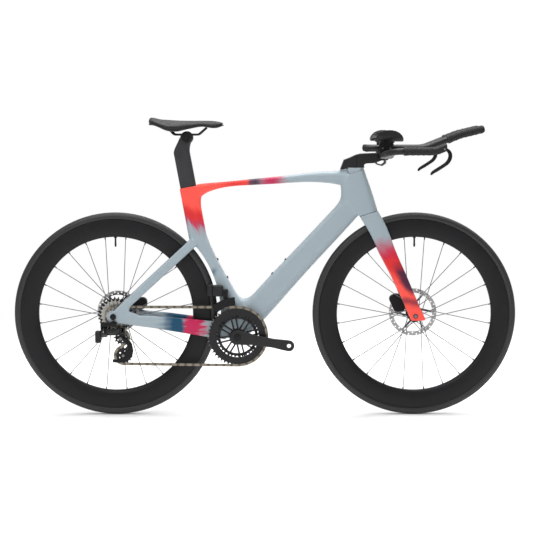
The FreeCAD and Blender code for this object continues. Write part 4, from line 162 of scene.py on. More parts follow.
# Chain: forward and up corners of the boxes whose links each length takes, the first that fits
CHAIN_RUNS = (
    ("chain_lead", (-0.460, 0.345), (-0.135, 1.0)),
    ("chain_catch", (-0.135, 0.345), (-0.030, 1.0)),
    ("chain_guide", (-1.0, 0.228), (-0.440, 0.297)),
    ("chain_slack", (-1.0, 0.0), (-0.440, 0.228)),
    ("chain_slack", (-1.0, 0.0), (-0.097, 0.182)),
)
# each length, the two bodies it runs between, and the points where a bend between them would start and
# end; only the names are used
CHAIN_BENDS = (
    ("chain_lead", "frame", "front_cage", (-0.420, 0.370), (-0.190, 0.370)),
    ("chain_catch", "front_cage", "frame", (-0.105, 0.370), (-0.045, 0.370)),
    ("chain_guide", "lower_knuckle", "cage", (-0.470, 0.300), (-0.470, 0.278)),
    ("chain_slack", "cage", "lower_knuckle", (-0.440, 0.180), (-0.140, 0.180)),
)

# Bolt heads, as shares of their height or radius
BOLT_SUNK = 0.4
BOLT_ROUNDING = 0.3
BOLT_WALL = 0.38
BOLT_SOCKET = 0.5

# Places of the bolts, and the faces that they stand on
MOUNT_BOLT = Vector((0.012, 0, 0))
MOUNT_FACE = EXTENSION_SPACING + 0.0151
HOOD_BOLT = Vector((0.57054, 0, 0.891))
HOOD_FACE = 0.2078
HANGER_BOLT = Vector((0.002, 0, -0.022))
CLAMP_FACE = 0.026
KNUCKLE_FACE = -0.078
CAGE_SUNK = 0.0005
CRANK_FACE = 0.0749

# Bolts of the chainrings, and the rings' and rotors' bright edges
RING_BOLT_COUNT = 8
RING_BOLT_START = math.radians(4.45)
RING_BOLT_CIRCLE = 0.0608
RING_BOLT_FACE = -0.0494
OUTER_TEETH = RING_RADIUS - 0.0045
INNER_TEETH = 0.0705
ROTOR_TRACK = 0.060


def srgb(red, green, blue):
    """A screen colour, 0 to 255, as the linear colour that a shader takes."""
    def linear(value):
        value /= 255
        return value / 12.92 if value <= 0.04045 else ((value + 0.055) / 1.055) ** 2.4
    return tuple(linear(value) for value in (red, green, blue))


def colour(name, description, *screen):
    return bpy.props.FloatVectorProperty(
        name=name, description=description, subtype="COLOR", size=3, min=0, max=1, default=srgb(*screen)
    )


def length(name, description, default):
    return bpy.props.FloatProperty(
        name=name, description=description, default=default, min=0, unit="LENGTH"
    )


def count(name, description, default):
    return bpy.props.IntProperty(name=name, description=description, default=default, min=1)


class BikePaint(bpy.types.PropertyGroup):
    """Colours of the painted frame and fork"""
    ground: colour("Ground", "Pale grey that covers most of the frame", 154, 167, 174)
    coral: colour("Coral", "Bright fade at the seat cluster and the fork tips", 254, 86, 74)
    red: colour("Red", "Deeper fade beside the coral", 214, 44, 44)
    magenta: colour("Magenta", "Fade between the bright and the dark zones", 186, 26, 78)
    teal: colour("Teal", "Dark blue green fade on the chainstay", 0, 66, 96)
    plum: colour("Plum", "Dark purple fade beside the coral", 52, 26, 56)


class BikeFinish(bpy.types.PropertyGroup):
    """Colours of the bare parts"""
    carbon: colour("Carbon", "Satin carbon of rims, bars and cranks", 23, 23, 25)
    post: colour("Post", "Charcoal carbon of the seat post", 50, 50, 52)
    alloy: colour("Alloy", "Black anodised alloy", 25, 25, 27)
    spoke: colour("Spoke", "Dark steel of the spokes and bolts", 118, 118, 122)
    steel: colour("Steel", "Bare steel of rotors", 178, 178, 176)
    sprocket: colour("Sprocket", "Plated steel of the sprockets", 196, 194, 188)
    chain: colour("Chain", "Oiled plated steel of the chain", 138, 130, 118)
    moulded: colour("Moulded", "Moulded black plastic", 24, 24, 26)
    tyre: colour("Tyre", "Black tyre rubber", 26, 26, 27)
    tape: colour("Tape", "Black wrapped grip tape", 26, 26, 27)
    pad: colour("Pad", "Black foam of the arm pads", 25, 25, 26)
    saddle: colour("Saddle", "Black saddle skin", 25, 25, 27)
    # Mid grey that stands for the highlight along black rubber hoses: a painted highlight.
    hose_highlight_grey: colour("Hose", "Grey jacket of the brake hoses", 92, 93, 96)
    floor: colour("Floor", "Pale floor", 250, 250, 250)


class BikeSizes(bpy.types.PropertyGroup):
    """Sizes of the dressed pieces"""
    shell_voxel: length("Shell voxel", "Grid of the blended frame shell", 0.0021)
    fork_voxel: length("Fork voxel", "Grid of the blended fork shell", 0.0019)
    shell_grow: length("Shell grow", "Overlap given to touching solids while they are blended", 0.0008)
    fillet_passes: count("Fillet passes", "How far the hollow corners are filled", 300)
    fillet_depth: length("Fillet depth", "Most that a hollow corner is filled", 0.036)
    wheel_steps: count("Wheel steps", "Facets round a tyre or rim", 180)
    nipple_length: length("Nipple length", "Length of a spoke nipple outside the rim", 0.009)
    nipple_radius: length("Nipple radius", "Radius of a spoke nipple", 0.0021)
    pad_voxel: length("Pad voxel", "Grid of the padded pieces", 0.0041)
    pad_swell: length("Pad swell", "Most that padding may swell", 0.0024)
    tape_pitch: length("Tape pitch", "Distance between two turns of grip tape", 0.017)
    tape_ridge: length("Tape ridge", "Step where a turn of tape overlaps the last", 0.0012)


# Finishes

class Wire:
    """One output of a finish's nodes, with the sums that a look is written in."""

    def __init__(self, finish, socket):
        self.finish = finish
        self.socket = socket

    def __add__(self, other):
        return self.finish.maths("ADD", self, other)

    def __radd__(self, other):
        return self.finish.maths("ADD", other, self)

    def __sub__(self, other):
        return self.finish.maths("SUBTRACT", self, other)

    def __rsub__(self, other):
        return self.finish.maths("SUBTRACT", other, self)

    def __mul__(self, other):
        return self.finish.maths("MULTIPLY", self, other)

    def __rmul__(self, other):
        return self.finish.maths("MULTIPLY", other, self)


class Finish:
    """A material, built up from its nodes."""

    def __init__(self, name, **constants):
        self.material = bpy.data.materials.new(name)
        self.material.use_nodes = True
        self.tree = self.material.node_tree
        self.shader = next(n for n in self.tree.nodes if n.type == "BSDF_PRINCIPLED")
        for key, value in constants.items():
            self.socket(key).default_value = value

    def socket(self, key):
        """The shader's own socket for a name such as specular_ior_level."""
        return self.shader.inputs[key.replace("_", " ").title().replace("Ior", "IOR")]

    def node(self, kind, settings=None, sockets=None, output=0):
        node = self.tree.nodes.new(kind)
        for key, value in (settings or {}).items():
            setattr(node, key, value)
        for key, value in (sockets or {}).items():
            self.feed(node.inputs[key], value)
        return Wire(self, node.outputs[output])

    def feed(self, socket, value):
        if isinstance(value, Wire):
            self.tree.links.new(value.socket, socket)
        elif socket.type == "RGBA" and len(value) == 3:
            socket.default_value = (*value, 1)
        else:
            socket.default_value = value

    def surface(self, **looks):
        for key, value in looks.items():
            self.feed(self.socket(key), value)
        return self.material

    def place(self):
        return self.node("ShaderNodeTexCoord", output="Object")

    def axes(self):
        return self.outputs(self.node("ShaderNodeSeparateXYZ", sockets={0: self.place()}))

    def outputs(self, wire):
        """All the outputs of a wire's node."""
        return [Wire(self, socket) for socket in wire.socket.node.outputs]

    def about(self, axle):
        """The place along an axle, and the two ways across it."""
        x, y, z = self.axes()
        return y, x - axle.x, z - axle.z

    def joined(self, x, y, z):
        return self.node("ShaderNodeCombineXYZ", sockets={0: x, 1: y, 2: z})

    def noise(self, scale, detail=2, vector=None):
        sockets = {"Scale": scale, "Detail": detail, "Vector": vector or self.place()}
        return self.node("ShaderNodeTexNoise", sockets=sockets)

    def cells(self, scale):
        sockets = {"Scale": scale, "Vector": self.place()}
        return self.node("ShaderNodeTexVoronoi", sockets=sockets, output="Distance")

    def maths(self, operation, *values):
        return self.node("ShaderNodeMath", {"operation": operation}, dict(enumerate(values)))

    def wave(self, value, pitch):
        return self.maths("SINE", value * (2 * math.pi / pitch))

    def reach(self, across, up):
        """Distance from an axis."""
        return self.maths("SQRT", across * across + up * up)

    def turn(self, across, up):
        return self.maths("ARCTAN2", across, up)

    def smooth(self, value, low, high):
        settings = {"interpolation_type": "SMOOTHSTEP", "clamp": True}
        sockets = {"Value": value, "From Min": low, "From Max": high}
        return self.node("ShaderNodeMapRange", settings, sockets)

    def band(self, value, low, high, soft):
        rise = self.smooth(value, low - soft, low + soft)
        return rise * (1 - self.smooth(value, high - soft, high + soft))

    def mix(self, factor, first, second):
        return self.node("ShaderNodeMix", {"data_type": "RGBA"}, {0: factor, 6: first, 7: second}, 2)

    def shade(self, tint, factor, dark=0.0, light=1.0):
        """A tint between a darker and a lighter shade of itself."""
        return self.mix(factor, [v * dark for v in tint], [min(v * light, 1) for v in tint])

    def bump(self, height, strength, distance):
        sockets = {"Strength": strength, "Distance": distance, "Height": height}
        return self.node("ShaderNodeBump", sockets=sockets)


def paint_surface(finish, coat, tint):
    """Satin lacquer over a paint colour, with faint haze and a fine orange peel."""
    haze = finish.noise(34, 3)
    peel = finish.noise(420, 2)
    return finish.surface(
        base_color=finish.mix(haze * 0.05, tint, srgb(120, 128, 134)),
        roughness=0.30 + haze * 0.14,
        coat_weight=coat + haze * 0.06,
        normal=finish.bump(peel, 0.10, 0.0004),
    )


def frame_paint(paint):
    """Pale grey with soft fades at the seat cluster, the top tube and the chainstays."""
    f = Finish("frame_paint", specular_ior_level=0.2, coat_roughness=0.14)
    x, y, z = f.axes()
    drift = (f.noise(9, 3) - 0.5) * 0.08 + (f.noise(31, 2) - 0.5) * 0.03
    along = x + drift
    across = x + z * 0.386 - 0.014
    streak = (f.noise(1, 3, f.joined(across * 75, y * 40, z * 8)) - 0.5) * 0.10
    combed = (f.noise(1, 3, f.joined(x * 9, y * 9, z * 90)) - 0.5) * 0.09
    height = z + across * 0.6 + streak
    on_top = f.smooth(z, 0.70, 0.735)
    on_seat = 1 - f.smooth(along, -0.08, -0.05)
    on_stay = (1 - f.smooth(z, 0.372, 0.405)) * (1 - f.smooth(x, -0.175, -0.15))
    tint = f.mix(f.band(along, -0.02, 0.05, 0.03) * on_top * 0.95, paint.ground, paint.magenta)
    tint = f.mix(f.band(along, -0.066, -0.018, 0.016) * on_top * 0.9, tint, paint.plum)
    tint = f.mix(f.smooth(height, 0.60, 0.66) * on_seat * 0.45, tint, paint.magenta)
    tint = f.mix(f.smooth(height, 0.628, 0.652) * on_seat * 0.85, tint, paint.magenta)
    tint = f.mix(f.smooth(height, 0.64, 0.675) * on_seat, tint, paint.red)
    tint = f.mix(f.smooth(height - streak * 0.5, 0.68, 0.722) * on_seat, tint, paint.coral)
    dusk = f.band(along, -0.135, -0.06, 0.03) * on_top
    tint = f.mix(dusk * 0.7, tint, paint.red)
    spot = f.band(along, -0.175, -0.15, 0.012) * f.band(z, 0.47, 0.49, 0.012)
    tint = f.mix(spot * 0.75, tint, paint.teal)
    tint = f.mix(f.band(along + combed, -0.269, -0.196, 0.014) * on_stay, tint, paint.magenta)
    teal = f.smooth(along + combed * 0.4, -0.36, -0.30) * (1 - f.smooth(along, -0.278, -0.256)) * on_stay
    return paint_surface(f, 0.06, f.mix(teal, tint, paint.teal))


def fork_paint(paint):
    """Pale grey crown that fades into red and coral legs with a dark cloud in front."""
    f = Finish("fork_paint", specular_ior_level=0.2, coat_roughness=0.14)
    x, y, z = f.axes()
    drift = (f.noise(11, 3) - 0.5) * 0.09
    height = z + drift
    before = x + z * 0.4417 + drift * 0.35
    tint = f.mix(1 - f.smooth(height, 0.545, 0.60), paint.ground, paint.magenta)
    tint = f.mix(1 - f.smooth(height, 0.525, 0.575), tint, paint.red)
    tint = f.mix(1 - f.smooth(height, 0.44, 0.52), tint, paint.coral)
    cloud = f.band(height, 0.42, 0.515, 0.024) * f.smooth(before, 0.640, 0.664)
    tint = f.mix(cloud * 0.95, tint, paint.plum)
    tint = f.mix(f.band(z + drift * 0.5, 0.372, 0.396, 0.012) * 0.7, tint, paint.plum)
    return paint_surface(f, 0.06, tint)


def carbon(name, tint, gloss=0.42, shine=0.34):
    """Satin carbon with a faint crossed weave under the lacquer."""
    f = Finish(name, specular_ior_level=shine, coat_roughness=0.35)
    x, y, z = f.axes()
    weave = f.wave(x + z, 0.0042) * f.wave(x - z + y, 0.0042) * 0.5 + 0.5
    cloud = f.noise(18, 4)
    return f.surface(
        base_color=f.mix(cloud * 0.55 + weave * 0.25, [v * 0.72 for v in tint], [v * 1.35 for v in tint]),
        roughness=gloss + (cloud - 0.5) * 0.14 + weave * 0.03,
        coat_weight=0.02 + cloud * 0.05,
        normal=f.bump(weave + f.noise(300, 2) * 0.6, 0.05, 0.0003),
    )


def alloy(name, tint, gloss=0.38):
    """Anodised alloy: a fine bead blast, worn a little brighter here and there."""
    f = Finish(name, specular_ior_level=0.25)
    blast = f.noise(900, 2)
    worn = f.smooth(f.noise(55, 5), 0.56, 0.78)
    return f.surface(
        base_color=f.mix(worn * 0.5, tint, [v * 2.0 + 0.006 for v in tint]),
        roughness=gloss + blast * 0.10 - worn * 0.08,
        metallic=0.3 + worn * 0.3,
        normal=f.bump(blast, 0.12, 0.0002),
    )


def brushed(name, tint, axle, core=0.0, dark=(0, 0, 0), gloss=0.28):
    """Bright steel, turned about an axle line so that fine rings show, round a dark core."""
    f = Finish(name, specular_ior_level=0.5)
    y, across, up = f.about(axle)
    radius = f.reach(across, up)
    rings = f.noise(1, 3, f.joined(radius * 1400, y * 200, 0.0))
    stain = f.noise(60, 4)
    steel = f.smooth(radius, core - 0.0008, core + 0.0008)
    return f.surface(
        base_color=f.mix(steel, dark, f.shade(tint, rings * 0.5 + stain * 0.5, 0.62, 1.15)),
        roughness=gloss + rings * 0.16 + (stain - 0.5) * 0.12,
        metallic=0.4 + steel * 0.55,
        normal=f.bump(rings, 0.12, 0.0002),
    )


def sprocket_steel(finish):
    """Plated sprockets whose largest one is black."""
    f = Finish("sprocket_steel", specular_ior_level=0.5)
    y, across, up = f.about(REAR_AXLE)
    radius = f.reach(across, up)
    rings = f.noise(1, 3, f.joined(radius * 1500, y * 300, 0.0))
    oil = f.noise(120, 4)
    largest = f.smooth(y, -0.0249, -0.0243)
    steel = f.shade(finish.sprocket, rings * 0.45 + oil * 0.55, 0.5, 1.15)
    return f.surface(
        base_color=f.mix(largest, steel, finish.alloy),
        roughness=0.26 + rings * 0.14 + (oil - 0.5) * 0.2,
        metallic=0.95 - largest * 0.5,
        normal=f.bump(rings, 0.1, 0.0002),
    )


def ring_alloy(name, axle, tint, steel, edge):
    """Black chainring with worn bright teeth."""
    f = Finish(name, specular_ior_level=0.5)
    y, across, up = f.about(axle)
    radius = f.reach(across, up)
    teeth = f.smooth(radius + (f.noise(160, 2) - 0.5) * 0.004, edge - 0.0012, edge + 0.0012)
    grain = f.noise(1, 3, f.joined(radius * 1200, f.turn(across, up) * 3.0, 0.0))
    return f.surface(
        base_color=f.mix(teeth, f.shade(tint, grain, 0.7, 1.4), f.shade(steel, grain, 0.55, 1.1)),
        roughness=0.36 + grain * 0.14 - teeth * 0.08,
        metallic=0.4 + teeth * 0.55,
        normal=f.bump(grain, 0.1, 0.0002),
    )


def chain_steel(tint, line):
    """Oiled links: bright outer plates, and between them inner plates and rollers painted very dark as
    shade in the gaps, mottled by grime.
    """
    f = Finish("chain_steel", specular_ior_level=0.5)
    x, y, z = f.axes()
    outer = f.smooth(f.maths("ABSOLUTE", y - line), 0.00175, 0.0019)
    grime = f.noise(240, 4)
    scuff = f.noise(1100, 2)
    plate = f.shade(tint, grime * 0.7 + scuff * 0.3, 0.6, 1.35)
    return f.surface(
        # Between the outer plates the colour falls to a fraction of the tint: painted shade in the gaps
        # between the plates, mottled by grime.
        base_color=f.mix(outer, f.shade(tint, grime, 0.12, 0.4), plate),
        roughness=0.26 + grime * 0.28,
        metallic=0.92,
        normal=f.bump(scuff, 0.15, 0.0002),
    )


def moulded(name, tint, gloss=0.5):
    """Moulded plastic with a fine spark texture."""
    f = Finish(name, specular_ior_level=0.34)
    spark = f.cells(1500)
    cloud = f.noise(40, 3)
    return f.surface(
        base_color=f.shade(tint, cloud, 0.75, 1.3),
        roughness=gloss + (cloud - 0.5) * 0.14,
        normal=f.bump(spark, 0.2, 0.0002),
    )


def tyre_rubber(name, axle, tint):
    """Tyre: a finely filed tread crown over smoother threaded sidewalls."""
    f = Finish(name, specular_ior_level=0.55)
    y, across, up = f.about(axle)
    radius = f.reach(across, up)
    crown = f.smooth(radius, TYRE_RADIUS - 0.0085, TYRE_RADIUS - 0.0065)
    around = f.turn(across, up)
    thread = f.wave(around * TYRE_RADIUS + y, 0.0016) * 0.5 + 0.5
    filed = f.wave(around * TYRE_RADIUS - y * 2, 0.0026) * f.wave(around * TYRE_RADIUS + y * 2, 0.0026)
    dust = f.noise(26, 4)
    return f.surface(
        base_color=f.mix(crown * 0.35 + dust * 0.3, tint, [v * 1.9 for v in tint]),
        roughness=0.48 + crown * 0.14 + (dust - 0.5) * 0.12,
        normal=f.bump(thread * (1 - crown) * 0.5 + filed * crown, 0.2, 0.0004),
    )


def tape_grip(tint):
    """Wrapped grip tape: soft matt skin with pressed dots, painted darker inside the dots as shade, and
    random wear.
    """
    f = Finish("tape_grip", specular_ior_level=0.36)
    dots = f.cells(420)
    wear = f.noise(30, 4)
    return f.surface(
        # Darker colour inside each pressed dot: painted shade in the dimples.
        base_color=f.shade(tint, wear * 0.7 + dots * 0.4, 0.6, 1.5),
        roughness=0.66 + (wear - 0.5) * 0.2,
        normal=f.bump(f.smooth(dots, 0.15, 0.5), 0.5, 0.0006),
    )


def foam(name, tint, scale, relief):
    """Soft cover: a fine pebble grain, painted lighter on its raised ridges as a sheen and darker in its
    dimples as shade, with random wear.
    """
    f = Finish(name, specular_ior_level=0.4, sheen_weight=0.05)
    pebble = f.cells(scale)
    wear = f.noise(16, 4)
    return f.surface(
        # Lighter colour on the grain's raised ridges and darker colour in its dimples: painted sheen and
        # painted shade.
        base_color=f.shade(tint, wear * 0.6 + pebble * 0.5, 0.65, 1.45),
        roughness=0.58 + (wear - 0.5) * 0.22,
        normal=f.bump(f.smooth(pebble, 0.05, 0.6), relief, 0.0005),
    )


def hose_jacket(tint):
    """Smooth extruded hose jacket with light scuffs; its grey tint is a painted highlight over black
    rubber.
    """
    f = Finish("hose_jacket", specular_ior_level=0.45)
    scuff = f.noise(90, 4)
    return f.surface(
        base_color=f.shade(tint, scuff, 0.7, 1.5),
        roughness=0.36 + scuff * 0.2,
        normal=f.bump(f.noise(600, 2), 0.08, 0.0002),
    )


def floor_cover(tint):
    """Pale floor round the wheels that melts into a white background."""
    f = Finish("floor_cover", specular_ior_level=0.0)
    x, y, z = f.axes()
    far = f.smooth(f.reach(x, y), 1.3, 2.6)
    speck = f.noise(8, 4)
    f.surface(base_color=f.shade(tint, speck, 0.985, 1.0), roughness=0.9)
    seen = f.node("ShaderNodeLightPath", output="Is Camera Ray")
    through = f.node("ShaderNodeLightPath", output="Is Transmission Ray")
    shown = f.maths("MINIMUM", seen + through, 1.0)
    white = f.node("ShaderNodeEmission", sockets={"Color": (1, 1, 1), "Strength": 1.0})
    cover = Wire(f, f.shader.outputs[0])
    mixed = f.node("ShaderNodeMixShader", sockets={0: far * shown, 1: cover, 2: white})
    output = next(n for n in f.tree.nodes if n.type == "OUTPUT_MATERIAL")
    f.tree.links.new(mixed.socket, output.inputs["Surface"])
    return f.material


# Mesh helpers

def cad_copy(*nodes):
    """The CAD meshes as one merged bmesh."""
    bm = bmesh.new()
    for node in nodes:
        bm.from_mesh(frame["nodes"][node].data)
    bmesh.ops.remove_doubles(bm, verts=bm.verts, dist=1e-6)
    bmesh.ops.recalc_face_normals(bm, faces=bm.faces)
    return bm


def new_object(name, bm):
    mesh = bpy.data.meshes.new(name)
    bm.to_mesh(mesh)
    bm.free()
    piece = bpy.data.objects.new(name, mesh)
    bpy.context.scene.collection.objects.link(piece)
    return piece


def apply_modifiers(piece):
    """Turns a piece's live modifiers into its mesh."""
    shaped = piece.evaluated_get(bpy.context.evaluated_depsgraph_get())
    mesh = bpy.data.meshes.new_from_object(shaped)
    piece.modifiers.clear()
    piece.data = mesh
    mesh.name = piece.name


def modifier(piece, name, kind, **settings):
    added = piece.modifiers.new(name, kind)
    for key, value in settings.items():
        setattr(added, key, value)
    return added


def finish_piece(piece, body, material, slot, *replaced, sharp=35):
    """Gives a piece its finish, its shading and its body, and hides the CAD nodes that it stands for."""
    piece.data.materials.clear()
    piece.data.materials.append(material)
    piece.data.shade_smooth()
    piece.data.set_sharp_from_angle(angle=math.radians(sharp))
    if body:
        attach(piece, body)
    if replaced:
        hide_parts(*replaced)
    return piece


def tree_of(*nodes):
    bm = cad_copy(*nodes)
    tree = BVHTree.FromBMesh(bm)
    bm.free()
    return tree


def turned_to(direction):
    """A rotation that carries +Z to a direction."""
    return direction.normalized().to_track_quat("Z", "Y").to_matrix().to_4x4()


def socket_bolt(bm, foot, direction, radius, height, segments=24):
    """Round bolt head with a rounded rim and a sunk socket, its foot a little below the surface."""
    def rise(face):
        return (face.calc_center_median() - foot).dot(axis)

    axis = direction.normalized()
    sunk = height * BOLT_SUNK
    place = Matrix.Translation(foot + axis * (height - sunk) / 2) @ turned_to(axis)
    made = bmesh.ops.create_cone(
        bm, cap_ends=True, segments=segments, radius1=radius, radius2=radius, depth=height + sunk,
        matrix=place
    )["verts"]
    faces = {face for vert in made for face in vert.link_faces}
    rim = list(max(faces, key=rise).edges)
    bevelled = bmesh.ops.bevel(
        bm, geom=rim, offset=height * BOLT_ROUNDING, segments=2, profile=0.5, affect="EDGES", material=-1
    )
    top = max(bevelled["faces"] + [face for face in faces if face.is_valid], key=rise)
    bmesh.ops.inset_region(bm, faces=[top], thickness=radius * BOLT_WALL)
    socket = bmesh.ops.extrude_discrete_faces(bm, faces=[top])["faces"][0]
    bmesh.ops.translate(bm, verts=socket.verts, vec=-axis * height * BOLT_SOCKET)


def ring_of(bm, profile, centre, steps):
    """Spins a closed profile of (radius, side) points about a wheel's axle."""
    verts = [bm.verts.new(centre + UP * radius + SIDE * across) for radius, across in profile]
    edges = [bm.edges.new((verts[i], verts[(i + 1) % len(verts)])) for i in range(len(verts))]
    bmesh.ops.spin(
        bm, geom=verts + edges, cent=centre, axis=SIDE, dvec=(0, 0, 0), angle=2 * math.pi, steps=steps,
        use_merge=True
    )
    bmesh.ops.remove_doubles(bm, verts=bm.verts, dist=1e-6)
    bmesh.ops.recalc_face_normals(bm, faces=bm.faces)


def remeshed(piece, voxel, grow):
    """One closed skin over a piece's touching solids."""
    modifier(piece, "Grow", "DISPLACE", strength=grow, mid_level=0)
    modifier(piece, "Skin", "REMESH", mode="VOXEL", voxel_size=voxel)
    modifier(piece, "Settle", "SMOOTH", factor=0.5, iterations=3)
    modifier(piece, "Shrink", "DISPLACE", strength=-grow, mid_level=0)
    apply_modifiers(piece)


def loose_parts(bm):
    """Groups of joined vertices."""
    left = set(bm.verts)
    groups = []
    while left:
        seed = left.pop()
        group, stack = [seed], [seed]
        while stack:
            for edge in stack.pop().link_edges:
                for vert in edge.verts:
                    if vert in left:
                        left.discard(vert)
                        group.append(vert)
                        stack.append(vert)
        groups.append(group)
    return groups


def keep_largest(piece):
    """Drops loose crumbs that a skin may leave inside."""
    bm = bmesh.new()
    bm.from_mesh(piece.data)
    groups = sorted(loose_parts(bm), key=len, reverse=True)
    for group in groups[1:]:
        if len(group) < len(groups[0]) * CRUMB_SHARE:
            bmesh.ops.delete(bm, geom=group, context="VERTS")
    bm.to_mesh(piece.data)
    bm.free()


def stand_off(piece, tree, gap):
    """Sets the walls round another part back to a small gap."""
    for vert in piece.data.vertices:
        near = tree.find_nearest(vert.co, POST_REACH)[0]
        if near is None:
            continue
        room = (near - vert.co).dot(vert.normal)
        if -POST_BITE < room < gap:
            vert.co -= vert.normal * (gap - room)


def fill_hollows(piece, zones, keep_clear, passes, depth, lengthwise=False):
    """Fills the hollow corners near some places to smooth fillets; outward corners stay as they are.

    Walls that face the parts in keep_clear are left alone. Lengthwise fillets follow the side view alone,
    so a narrow tube's round section doesn't hold them back.
    """
    mesh = piece.data
    total = len(mesh.vertices)
    spots = np.empty(total * 3)
    mesh.vertices.foreach_get("co", spots)
    spots = spots.reshape(-1, 3)
    weight = np.zeros(total)
    for place, reach in zones:
        away = np.linalg.norm(spots - np.array(place), axis=1) / reach
        weight = np.maximum(weight, np.clip(FILLET_EDGE - FILLET_EDGE * away, 0, 1))
    for index in np.nonzero(weight)[0]:
        spot = Vector(spots[index])
        for tree in keep_clear:
            near = tree.find_nearest(spot, FILLET_CLEARANCE)[0]
            if near is not None and (near - spot).dot(mesh.vertices[index].normal) > -FILLET_TOUCH:
                weight[index] = 0
    edges = np.empty(len(mesh.edges) * 2, dtype=np.int64)
    mesh.edges.foreach_get("vertices", edges)
    pairs = edges.reshape(-1, 2)
    pairs = pairs[(weight[pairs] > 0).any(axis=1)]
    active = np.unique(pairs)
    index_of = np.zeros(total, dtype=np.int64)
    index_of[active] = np.arange(len(active))
    one, two = index_of[pairs].T
    size = len(active)
    skin = spots[active]
    span = skin[one] - skin[two]
    sideways = span[:, 1] ** 2 / np.maximum((span ** 2).sum(axis=1), 1e-12)
    share = np.clip(1 - sideways, FILLET_LEAST_SHARE, 1) if lengthwise else np.ones(len(one))
    busy = (np.bincount(one, share, size) + np.bincount(two, share, size))[:, None]
    start = skin.copy()
    speed = weight[active] * FILLET_PACE
    normals = np.empty(total * 3)
    for step in range(passes):
        if step % NORMALS_EVERY == 0:
            spots[active] = skin
            mesh.vertices.foreach_set("co", spots.ravel())
            mesh.update()
            mesh.vertex_normals.foreach_get("vector", normals)
            facing = normals.reshape(-1, 3)[active]
        around = np.stack([
            np.bincount(one, skin[two, i] * share, size) + np.bincount(two, skin[one, i] * share, size)
            for i in range(3)
        ], 1)
        pull = np.einsum("ij,ij->i", around / busy - skin, facing)
        room = depth - np.linalg.norm(skin - start, axis=1)
        skin += facing * (np.clip(pull, 0, None) * speed * (room > 0))[:, None]
    spots[active] = skin
    mesh.vertices.foreach_set("co", spots.ravel())
    mesh.update()


def both_sides(corners):
    """Corners on one side, and their mirror images."""
    return [((x, side * y, z), reach) for side in (1, -1) for (x, y, z), reach in corners]


def thinned(piece, most):
    """Brings a piece under a number of triangles."""
    triangles = sum(len(face.vertices) - 2 for face in piece.data.polygons)
    if triangles > most:
        modifier(piece, "Thin", "DECIMATE", ratio=most / triangles)
        apply_modifiers(piece)


# Operators

class BikeOperator:
    """What the bicycle's operators share."""
    bl_options = {"REGISTER"}

    def execute(self, context):
        self.build(context.scene.bike_paint, context.scene.bike_finish, context.scene.bike_sizes)
        return {"FINISHED"}


class BIKE_OT_stage(BikeOperator, bpy.types.Operator):
    """Camera, floor and studio light"""
    bl_idname = "time_trial.stage"
    bl_label = "Stage"

    def build(self, paint, finish, sizes):
        scene = bpy.context.scene
        scene.view_settings.view_transform = "Standard"
        self.camera(scene)
        bm = bmesh.new()
        bmesh.ops.create_circle(bm, cap_ends=True, segments=64, radius=14)
        floor = new_object("floor", bm)
        floor.data.materials.append(floor_cover(finish.floor))
        self.softbox("key", (-1.6, -3.4, 3.6), (0, 0, 0.5), 2.4, 72)
        self.softbox("top", (0.2, 0.2, 3.4), (0, 0, 0.5), 3.0, 150)
        self.softbox("back", (2.4, 3.2, 2.6), (0, 0, 0.6), 2.6, 60)
        self.world(scene)

    def camera(self, scene):
        data = bpy.data.cameras.new("camera")
        data.sensor_width = 36
        data.lens = 87.505
        data.shift_x = -0.02999
        data.shift_y = -0.08942
        camera = bpy.data.objects.new("camera", data)
        camera.location = (0.0586, -4.3, 0.957)
        camera.rotation_euler = (math.radians(86), 0, 0)
        scene.collection.objects.link(camera)
        scene.camera = camera

    def softbox(self, name, place, target, size, power):
        data = bpy.data.lights.new(name, "AREA")
        data.shape = "SQUARE"
        data.size = size
        data.energy = power
        lamp = bpy.data.objects.new(name, data)
        lamp.location = place
        lamp.rotation_euler = (Vector(target) - Vector(place)).to_track_quat("-Z", "Y").to_euler()
        bpy.context.scene.collection.objects.link(lamp)

    def world(self, scene):
        world = bpy.data.worlds.new("studio")
        world.use_nodes = True
        scene.world = world
        tree = world.node_tree
        light = tree.nodes["Background"]
        light.inputs["Color"].default_value = (1, 1, 1, 1)
        light.inputs["Strength"].default_value = 0.40
        shown = tree.nodes.new("ShaderNodeBackground")
        shown.inputs["Color"].default_value = (1, 1, 1, 1)
        shown.inputs["Strength"].default_value = 1
        path = tree.nodes.new("ShaderNodeLightPath")
        both = tree.nodes.new("ShaderNodeMixShader")
        tree.links.new(path.outputs["Is Camera Ray"], both.inputs[0])
        tree.links.new(light.outputs[0], both.inputs[1])
        tree.links.new(shown.outputs[0], both.inputs[2])
        tree.links.new(both.outputs[0], tree.nodes["World Output"].inputs["Surface"])


